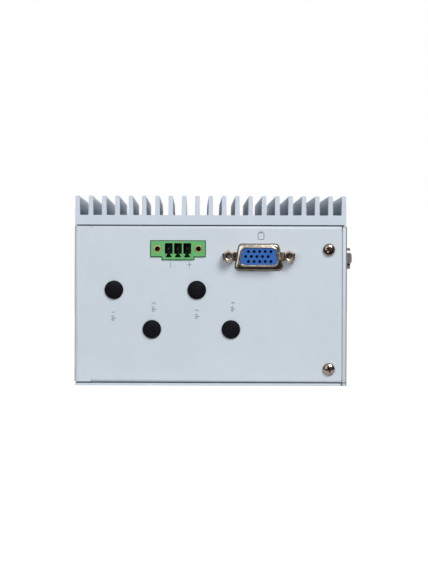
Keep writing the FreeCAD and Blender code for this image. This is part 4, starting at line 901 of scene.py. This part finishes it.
@dataclass
class EndScrews:
    """Pan-head cross-recess screws at the panel's folded ends."""

    head_radius: float = 2.5
    head_height: float = 1.8
    thread_radius: float = 1.5
    thread_length: float = 4.4
    recess_reach: float = 1.65
    recess_arm: float = 0.46
    recess_depth: float = 1.3
    recess_over: float = 0.6
    recess_tip: Pair = (0.5, 0.55)
    rim_chamfer: float = 0.1
    crown_start: float = 0.75
    crown_degrees: Sequence[int] = range(0, 90, 12)
    near_spins: Pair = (0.35, -0.5)
    far_spins: Pair = (0.15, 0.9)

    def recess(self) -> Piece:
        """Models the tapered cross that the driver leaves.

        Returns:
            The cutter, its top above the crown.
        """
        arms = []
        for quarter in range(2):
            deselect_all()
            bpy.ops.mesh.primitive_cube_add(size=1.0)
            arm = bpy.context.object
            top = self.head_height + self.recess_over
            low = self.head_height - self.recess_depth
            arm.data.transform(Matrix.Translation((0, 0, (top + low) / 2 * MM)) @ Matrix.Diagonal(
                (2 * self.recess_reach * MM, 2 * self.recess_arm * MM, (top - low) * MM, 1)))
            pick(arm, lambda place: place.z < (top + low) / 2 * MM)
            bpy.ops.transform.resize(value=(*self.recess_tip, 1))
            bpy.ops.object.mode_set(mode="OBJECT")
            arm.data.transform(Matrix.Rotation(quarter * math.pi / 2, 4, "Z"))
            arms.append(arm)
        return carve(arms[0], arms[1], "UNION")

    def screw(self) -> Piece:
        """Models one screw on z = 0, its head up.

        Returns:
            The screw.
        """
        radius, rise = self.head_radius, self.head_height - self.crown_start
        crown = [(radius * math.cos(a), self.crown_start + rise * math.sin(a))
                 for a in [math.radians(step) for step in self.crown_degrees]]
        steps = [(self.thread_radius, -self.thread_length), (self.thread_radius, 0),
                 (radius - self.rim_chamfer, 0), (radius, self.rim_chamfer)] + crown
        head = lathe("end_screw", steps)
        return smooth(carve(head, self.recess()), CREASE_ANGLE)

    def build(self) -> None:
        """Places two screws at each end."""
        for name, wall, spins in (("end_screws_near", NEAR_WALL, self.near_spins),
                                  ("end_screws_far", FAR_WALL, self.far_spins)):
            low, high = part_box(name)
            x = (low.x + high.x) / 2 / MM
            heights = (low.z / MM + self.head_radius, high.z / MM - self.head_radius)
            piece = copy_to(self.screw(), name + "_nickel",
                            [out_of_end(x, wall, z, spin) for z, spin in zip(heights, spins)])
            settle(piece, Finishes.NICKEL, "nickel_steel", name)


@dataclass
class Jackscrews:
    """Tapped hexagonal screws beside the D-shaped sockets."""

    flats: float = 4.75
    length: float = 5.3
    stud: float = 1.4
    stud_length: float = 3.4
    chamfer: float = 0.75
    face: float = 1.75
    thread_crest: float = 1.12
    thread_root: float = 1.4
    thread_pitch: float = 0.635
    bore_depth: float = 4.2
    bore_lead: float = 0.2
    mouth: float = 1.55
    waist: float = 0.3
    waist_height: float = 0.25
    clear: float = 0.02
    overlap: float = 0.3
    crease: float = 25.0
    spins: Pair = (0.1, -0.08)
    spacing: float = 24.99

    def bore(self) -> Piece:
        """Models the tapped hole as a stack of thread grooves.

        Returns:
            The cutter.
        """
        height = self.length - self.bore_depth
        steps = [(self.thread_crest, height)]
        height += self.bore_lead
        while height < self.length - self.thread_pitch:
            steps += [(self.thread_crest, height),
                      (self.thread_root, height + self.thread_pitch / 2)]
            height += self.thread_pitch
        steps += [(self.thread_crest, height), (self.mouth, self.length + self.clear),
                  (self.mouth, self.length + self.overlap)]
        return lathe("tapped_bore", steps, sides=32)

    def screw(self) -> Piece:
        """Models one screw on z = 0, its tapped head up.

        Returns:
            The screw.
        """
        corner = self.flats / math.sqrt(3)
        outside = corner + self.clear
        body = lathe("jackscrew", [(corner, 0), (corner, self.length)], sides=6)
        crown = lathe("crown", [(corner - self.waist, 0), (outside, self.waist_height),
                                (outside, self.length - self.chamfer),
                                (self.face, self.length)], sides=64)
        carve(body, crown, "INTERSECT")
        carve(body, self.bore())
        stud = lathe("stud", [(self.stud, -self.stud_length), (self.stud, self.overlap)], sides=32)
        carve(body, stud, "UNION")
        return smooth(body, self.crease)

    def build(self) -> None:
        """Places a pair beside the display socket and a pair beside the serial port."""
        reach = self.spacing / 2
        display, serial = centre_of("display_jackscrews"), centre_of("serial_jackscrews")
        pair = copy_to(self.screw(), "display_jackscrews_nickel", [
            out_of_end(display.x + side * reach, NEAR_WALL, display.z, spin)
            for side, spin in zip((-1, 1), self.spins)])
        settle(pair, Finishes.JACK_NICKEL, "nickel_steel", "display_jackscrews")
        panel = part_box("port_panel")[1].x / MM
        pair = copy_to(self.screw(), "serial_jackscrews_nickel", [
            out_of_panel(panel, serial.y + side * reach, serial.z, math.pi / 6)
            for side in (-1, 1)])
        settle(pair, Finishes.GREY_NICKEL, "nickel_steel", "serial_jackscrews")


@dataclass
class AntennaPlugs:
    """Domed snap-in plugs in the unused antenna holes."""

    radius: float = 3.85
    height: float = 1.7
    rim: float = 0.5
    soft: float = 0.12
    dome_degrees: Sequence[int] = range(8, 89, 8)
    shank: float = 3.2
    shank_wall: float = 0.9
    shank_taper: float = 0.3
    barb: float = 0.25
    barb_top: float = -1.22
    barb_crest: float = -1.5
    depth: float = 3.85
    turn: float = 0.7

    def plug(self) -> Piece:
        """Models one plug on z = 0, its dome up.

        Returns:
            The plug.
        """
        radius, shank = self.radius, self.shank
        dome = [(radius * math.cos(a), self.rim + (self.height - self.rim) * math.sin(a))
                for a in [math.radians(step) for step in self.dome_degrees]]
        steps = [(shank - self.shank_taper, -self.depth), (shank + self.barb, self.barb_crest),
                 (shank, self.barb_top), (shank, 0), (radius - self.soft, 0),
                 (radius, self.soft), (radius, self.rim)] + dome
        plug = lathe("plug", steps, sides=64)
        inside = shank - self.shank_wall
        cup = lathe("cup", [(inside, -self.depth - 1), (inside, 0)])
        return smooth(carve(plug, cup), CREASE_ANGLE)

    def build(self) -> None:
        """Places a plug in each of the four holes."""
        for number in range(1, 5):
            name = f"antenna_plug_{number}"
            middle = centre_of(name)
            piece = copy_to(self.plug(), name + "_domed",
                            [out_of_end(middle.x, NEAR_WALL, middle.z, self.turn * number)])
            settle(piece, Finishes.PLUG_BLACK, "plug_black", name)


@dataclass
class DrawnShells:
    """Shells of the D-shaped sockets: a plate, a raised foot and a rim drawn up from it."""

    wall: float = 0.45
    proud: float = 4.9
    foot: Ring = Ring(20.2, 10.8, 1.9, sag=0.3)
    foot_proud: float = 0.7
    foot_soft: float = 0.55
    foot_skew: float = 40.0
    fillet: float = 0.55
    lip: float = 0.2
    plate: Ring = Ring(30.8, 12.5, 0.5, slant=0.0)
    plate_back: float = -2.0
    plate_front: float = -1.2
    screw_spacing: float = 24.99
    screw_hole: float = 1.45
    display: Ring = Ring(16.9, 7.75, 2.2)
    serial: Ring = Ring(17.9, 9.3, 2.2)

    def shell(self, rim: Ring) -> Piece:
        """Models one shell on z = 0, its rim up.

        Args:
            rim: the rim's outside.

        Returns:
            The shell.
        """
        top, wall, lip, soft = self.proud, self.wall, self.lip, self.foot_soft
        skew = math.tan(math.radians(self.foot_skew))
        turns = [(1 - math.cos(math.radians(step)), 1 - math.sin(math.radians(step)))
                 for step in QUARTER]
        rings = [rim.grown(-wall, self.plate_back)]
        rings += [rim.grown(lip * out - wall, top - lip * down) for out, down in turns]
        rings += [rim.grown(-lip * out, top - lip * down) for out, down in reversed(turns)]
        rings += [rim.grown(self.fillet * out, self.foot_proud + self.fillet * down)
                  for out, down in turns]
        rings += [self.foot.grown(-soft * down, self.foot_proud - soft * out, skew)
                  for out, down in turns]
        rings += [self.foot.grown(0, self.plate_front), self.plate.grown(0, self.plate_front),
                  self.plate.grown(0, self.plate_back)]
        shell = loft("shell", rings)
        for side in (-1, 1):
            hole = lathe("screw_hole", [(self.screw_hole, self.plate_back - 1),
                                        (self.screw_hole, self.plate_front + 1)], sides=32)
            hole.data.transform(Matrix.Translation((side * self.screw_spacing / 2 * MM, 0, 0)))
            carve(shell, hole)
        return smooth(shell, CREASE_ANGLE)

    def build(self) -> None:
        """Places the two shells."""
        middle = centre_of("display_shell")
        piece = copy_to(self.shell(self.display), "display_shell_drawn",
                        [out_of_end(middle.x, NEAR_WALL, middle.z)])
        settle(piece, Finishes.SHELL_NICKEL, "shell_nickel", "display_shell")
        middle = centre_of("serial_shell")
        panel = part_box("port_panel")[1].x / MM
        piece = copy_to(self.shell(self.serial), "serial_shell_drawn",
                        [out_of_panel(panel, middle.y, middle.z)])
        settle(piece, Finishes.GREY_NICKEL, "shell_nickel", "serial_shell")


@dataclass
class Markings:
    """Grey screen print on the near end wall: generic signs and plain numbers only."""

    thickness: float = 0.02
    stroke: float = 0.3
    thin_stroke: float = 0.21
    mast_level: float = -1.2
    number_place: Pair = (0.0, 1.25)
    number_size: float = 2.24
    minus: Point = (-16.6, 49.9, 2.1)
    plus: Point = (-8.75, 50.0, 2.2)
    monitor: Pair = (20.8, 61.9)
    antennas: Tuple[Pair, ...] = ((-40.0, 29.1), (-23.4, 32.8), (-5.5, 29.9), (9.3, 33.0))

    def bar(self, start: Pair, end: Pair, stroke: float) -> Piece:
        """Prints a straight stroke.

        Args:
            start: where it starts, in the sign's own frame.
            end: where it ends.
            stroke: its width.

        Returns:
            The stroke on z = 0.
        """
        deselect_all()
        bpy.ops.mesh.primitive_cube_add(size=1.0)
        bar = bpy.context.object
        run = Vector((end[0] - start[0], end[1] - start[1], 0))
        middle = Vector(((start[0] + end[0]) / 2, (start[1] + end[1]) / 2, self.thickness / 2))
        bar.data.transform(
            Matrix.Translation(middle * MM) @ Matrix.Rotation(math.atan2(run.y, run.x), 4, "Z")
            @ Matrix.Diagonal(((run.length + stroke) * MM, stroke * MM, self.thickness * MM, 1)))
        return bar

    def number(self, value: int) -> Piece:
        """Prints a plain number that reads upwards.

        Args:
            value: the number.

        Returns:
            The number on z = 0.
        """
        deselect_all()
        bpy.ops.object.text_add()
        text = bpy.context.object
        text.data.body = str(value)
        text.data.size = self.number_size * MM
        text.data.align_x = "CENTER"
        text.data.align_y = "CENTER"
        text.data.extrude = self.thickness / 2 * MM
        bpy.ops.object.convert(target="MESH")
        number = bpy.context.object
        number.data.transform(
            Matrix.Translation(Vector((*self.number_place, self.thickness / 2)) * MM)
            @ Matrix.Rotation(math.pi / 2, 4, "Z"))
        number.matrix_world = Matrix.Identity(4)
        return number

    def antenna(self, value: int) -> Piece:
        """Prints a mast between two waves, and the antenna's number above it.

        Args:
            value: the antenna's number.

        Returns:
            The sign on z = 0.
        """
        stroke, level = self.stroke, self.mast_level
        strokes = [self.bar((0.8, level), (-0.2, level), stroke)]
        for side in (-1, 1):
            strokes += [self.bar((-0.2, level), (-0.8, level + side * 0.7), stroke),
                        self.bar((0.1, level + side * 0.75), (-0.35, level + side), stroke)]
        return join(strokes + [self.number(value)], f"antenna_sign_{value}")

    def screen(self) -> Piece:
        """Prints a monitor on its foot, turned as the socket's plug is.

        Returns:
            The sign on z = 0.
        """
        strokes = [self.bar(start, end, self.stroke) for start, end in (
            ((-1.2, -1.1), (-1.2, 1.1)), ((1.2, -1.1), (1.2, 1.1)), ((-0.95, -1.35), (0.95, -1.35)),
            ((-0.95, 1.35), (0.95, 1.35)), ((-0.6, 1.75), (0.6, 1.75)))]
        return join(strokes, "monitor_sign")

    def place(self, sign: Piece, name: str, x: float, z: float) -> None:
        """Puts a sign on the near end wall.

        Args:
            sign: the sign.
            name: its name.
            x: place across the wall, in millimetres.
            z: height.
        """
        settle(copy_to(sign, name, [out_of_end(x, NEAR_WALL, z)]), Finishes.PRINT_GREY)

    def build(self) -> None:
        """Prints every sign."""
        thin = self.thin_stroke
        x, z, size = self.minus
        self.place(self.bar((0, -size / 2), (0, size / 2), thin), "minus_sign", x, z)
        x, z, size = self.plus
        cross = [self.bar((0, -size / 2), (0, size / 2), thin),
                 self.bar((-size / 2, 0), (size / 2, 0), thin)]
        self.place(join(cross, "plus"), "plus_sign", x, z)
        self.place(self.screen(), "monitor_print", *self.monitor)
        for value, (x, z) in enumerate(self.antennas, 1):
            self.place(self.antenna(value), f"antenna_print_{value}", x, z)


# ---- The studio ----

@dataclass(frozen=True)
class Lamp:
    """A square soft box: watts, where it hangs, its side and the point that it faces."""

    name: str
    power: float
    place: Point
    size: float
    aim: Point = (0.0, 0.0, 40.0)

    def hang(self) -> None:
        """Hangs the box."""
        data = bpy.data.lights.new(self.name, "AREA")
        data.energy = self.power
        data.size = self.size * MM
        lamp = bpy.data.objects.new(self.name, data)
        lamp.location = Vector(self.place) * MM
        towards = Vector(self.aim) * MM - lamp.location
        lamp.rotation_euler = towards.to_track_quat("-Z", "Y").to_euler()
        bpy.context.scene.collection.objects.link(lamp)


@dataclass(frozen=True)
class Flag:
    """A dark card that only reflections show: its middle, width and height in millimetres."""

    name: str
    place: Point
    width: float
    height: float
    flat: bool = False
    shade: str = "#3a3836"

    def stand(self) -> None:
        """Stands the card facing the computer, or lays it flat."""
        aim = Vector((-self.place[0], -self.place[1], 0.0))
        turn = Matrix.Identity(4)
        if not self.flat:
            turn = aim.to_track_quat("Z", "Y").to_matrix().to_4x4()
        card = square(self.name)
        card.data.transform(Matrix.Translation(Vector(self.place) * MM) @ turn
                            @ Matrix.Diagonal((self.width * MM, self.height * MM, 1, 1)))
        card.data.materials.append(new_material(self.name))
        tree = card.active_material.node_tree
        glow = add_node(tree, "ShaderNodeEmission", {"Color": linear(self.shade)})
        add_node(tree, "ShaderNodeOutputMaterial", {"Surface": glow.outputs[0]})
        card.visible_camera = False
        card.visible_diffuse = False
        card.visible_shadow = False
        card.visible_transmission = False


@dataclass
class Studio:
    """Camera, soft lights, a pale floor and a white surround."""

    camera_place: Point = (-7.26, -1397.5, 42.07)
    camera_roll: float = -0.003
    lens: float = 201.5
    shift: Pair = (0.0368, -0.0026)
    film_width: float = 36.0
    far_clip: float = 50000.0
    ambient: float = 0.1
    lamps: Tuple[Lamp, ...] = (
        Lamp("key_light", 28.2, (600.0, -1500.0, 1200.0), 900.0),
        Lamp("fill_light", 10.0, (-700.0, -1700.0, 500.0), 1200.0),
        Lamp("side_light_1", 4.5, (2400.0, 500.0, 700.0), 1400.0),
        Lamp("side_light_2", 4.5, (-2400.0, 500.0, 700.0), 1400.0),
        Lamp("back_light", 8.0, (300.0, 2500.0, 800.0), 1400.0))
    flags: Tuple[Flag, ...] = (
        Flag("front_flag", (0.0, -2600.0, 300.0), 3400.0, 2600.0),
        Flag("low_flag", (0.0, -1350.0, 2.0), 3400.0, 2500.0, flat=True),
        Flag("left_flag", (-2200.0, -900.0, 300.0), 3000.0, 2600.0),
        Flag("right_flag", (2200.0, -900.0, 300.0), 3000.0, 2600.0))
    floor_size: float = 8000.0
    floor_tone: str = "#bdbdbd"
    floor_glow: str = "#fcfcfc"

    def camera(self) -> None:
        """Sets the camera level before the end wall."""
        data = bpy.data.cameras.new("camera")
        data.lens = self.lens
        data.sensor_width = self.film_width
        data.shift_x, data.shift_y = self.shift
        data.clip_end = self.far_clip * MM
        camera = bpy.data.objects.new("camera", data)
        camera.location = Vector(self.camera_place) * MM
        camera.rotation_euler = Euler((math.pi / 2, self.camera_roll, 0))
        bpy.context.scene.collection.objects.link(camera)
        bpy.context.scene.camera = camera

    def surround(self) -> None:
        """Makes the world white to the eye and in reflections, and dimmer as a light."""
        world = bpy.data.worlds.new("surround")
        bpy.context.scene.world = world
        world.use_nodes = True
        tree = world.node_tree
        tree.nodes.clear()
        strength = add_node(tree, "ShaderNodeMapRange", {
            "Value": to_the_eye(tree), "To Min": self.ambient, "To Max": 1.0})
        light = add_node(tree, "ShaderNodeBackground", {
            "Color": linear("#ffffff"), "Strength": strength.outputs["Result"]})
        add_node(tree, "ShaderNodeOutputWorld", {"Surface": light.outputs["Background"]})

    def floor(self) -> None:
        """Lays a white floor that the computer's shadow only just shows on."""
        floor = square("floor", self.floor_size * MM)
        floor.data.materials.append(new_material("matt_white_floor"))
        tree = floor.active_material.node_tree
        base = add_node(tree, "ShaderNodeBsdfDiffuse", {"Color": linear(self.floor_tone)})
        glow = add_node(tree, "ShaderNodeEmission", {"Strength": to_the_eye(tree),
                                                     "Color": linear(self.floor_glow)})
        both = add_node(tree, "ShaderNodeAddShader", {0: base.outputs[0], 1: glow.outputs[0]})
        add_node(tree, "ShaderNodeOutputMaterial", {"Surface": both.outputs[0]})

    def build(self) -> None:
        """Sets up the studio."""
        self.camera()
        self.surround()
        self.floor()
        for lamp in self.lamps:
            lamp.hang()
        for flag in self.flags:
            flag.stand()
        bpy.context.scene.view_settings.view_transform = "Standard"


def main() -> None:
    """Builds the studio and the computer."""
    logging.basicConfig(level=logging.INFO, format="%(message)s")
    for part in (Studio(), Housing(), EndScrews(), Jackscrews(), AntennaPlugs(), DrawnShells(),
                 Sockets(), FlushPorts(), Markings(), Inside()):
        part.build()
        LOG.info("%s done", type(part).__name__)
    deselect_all()


if __name__ == "__main__":
    main()
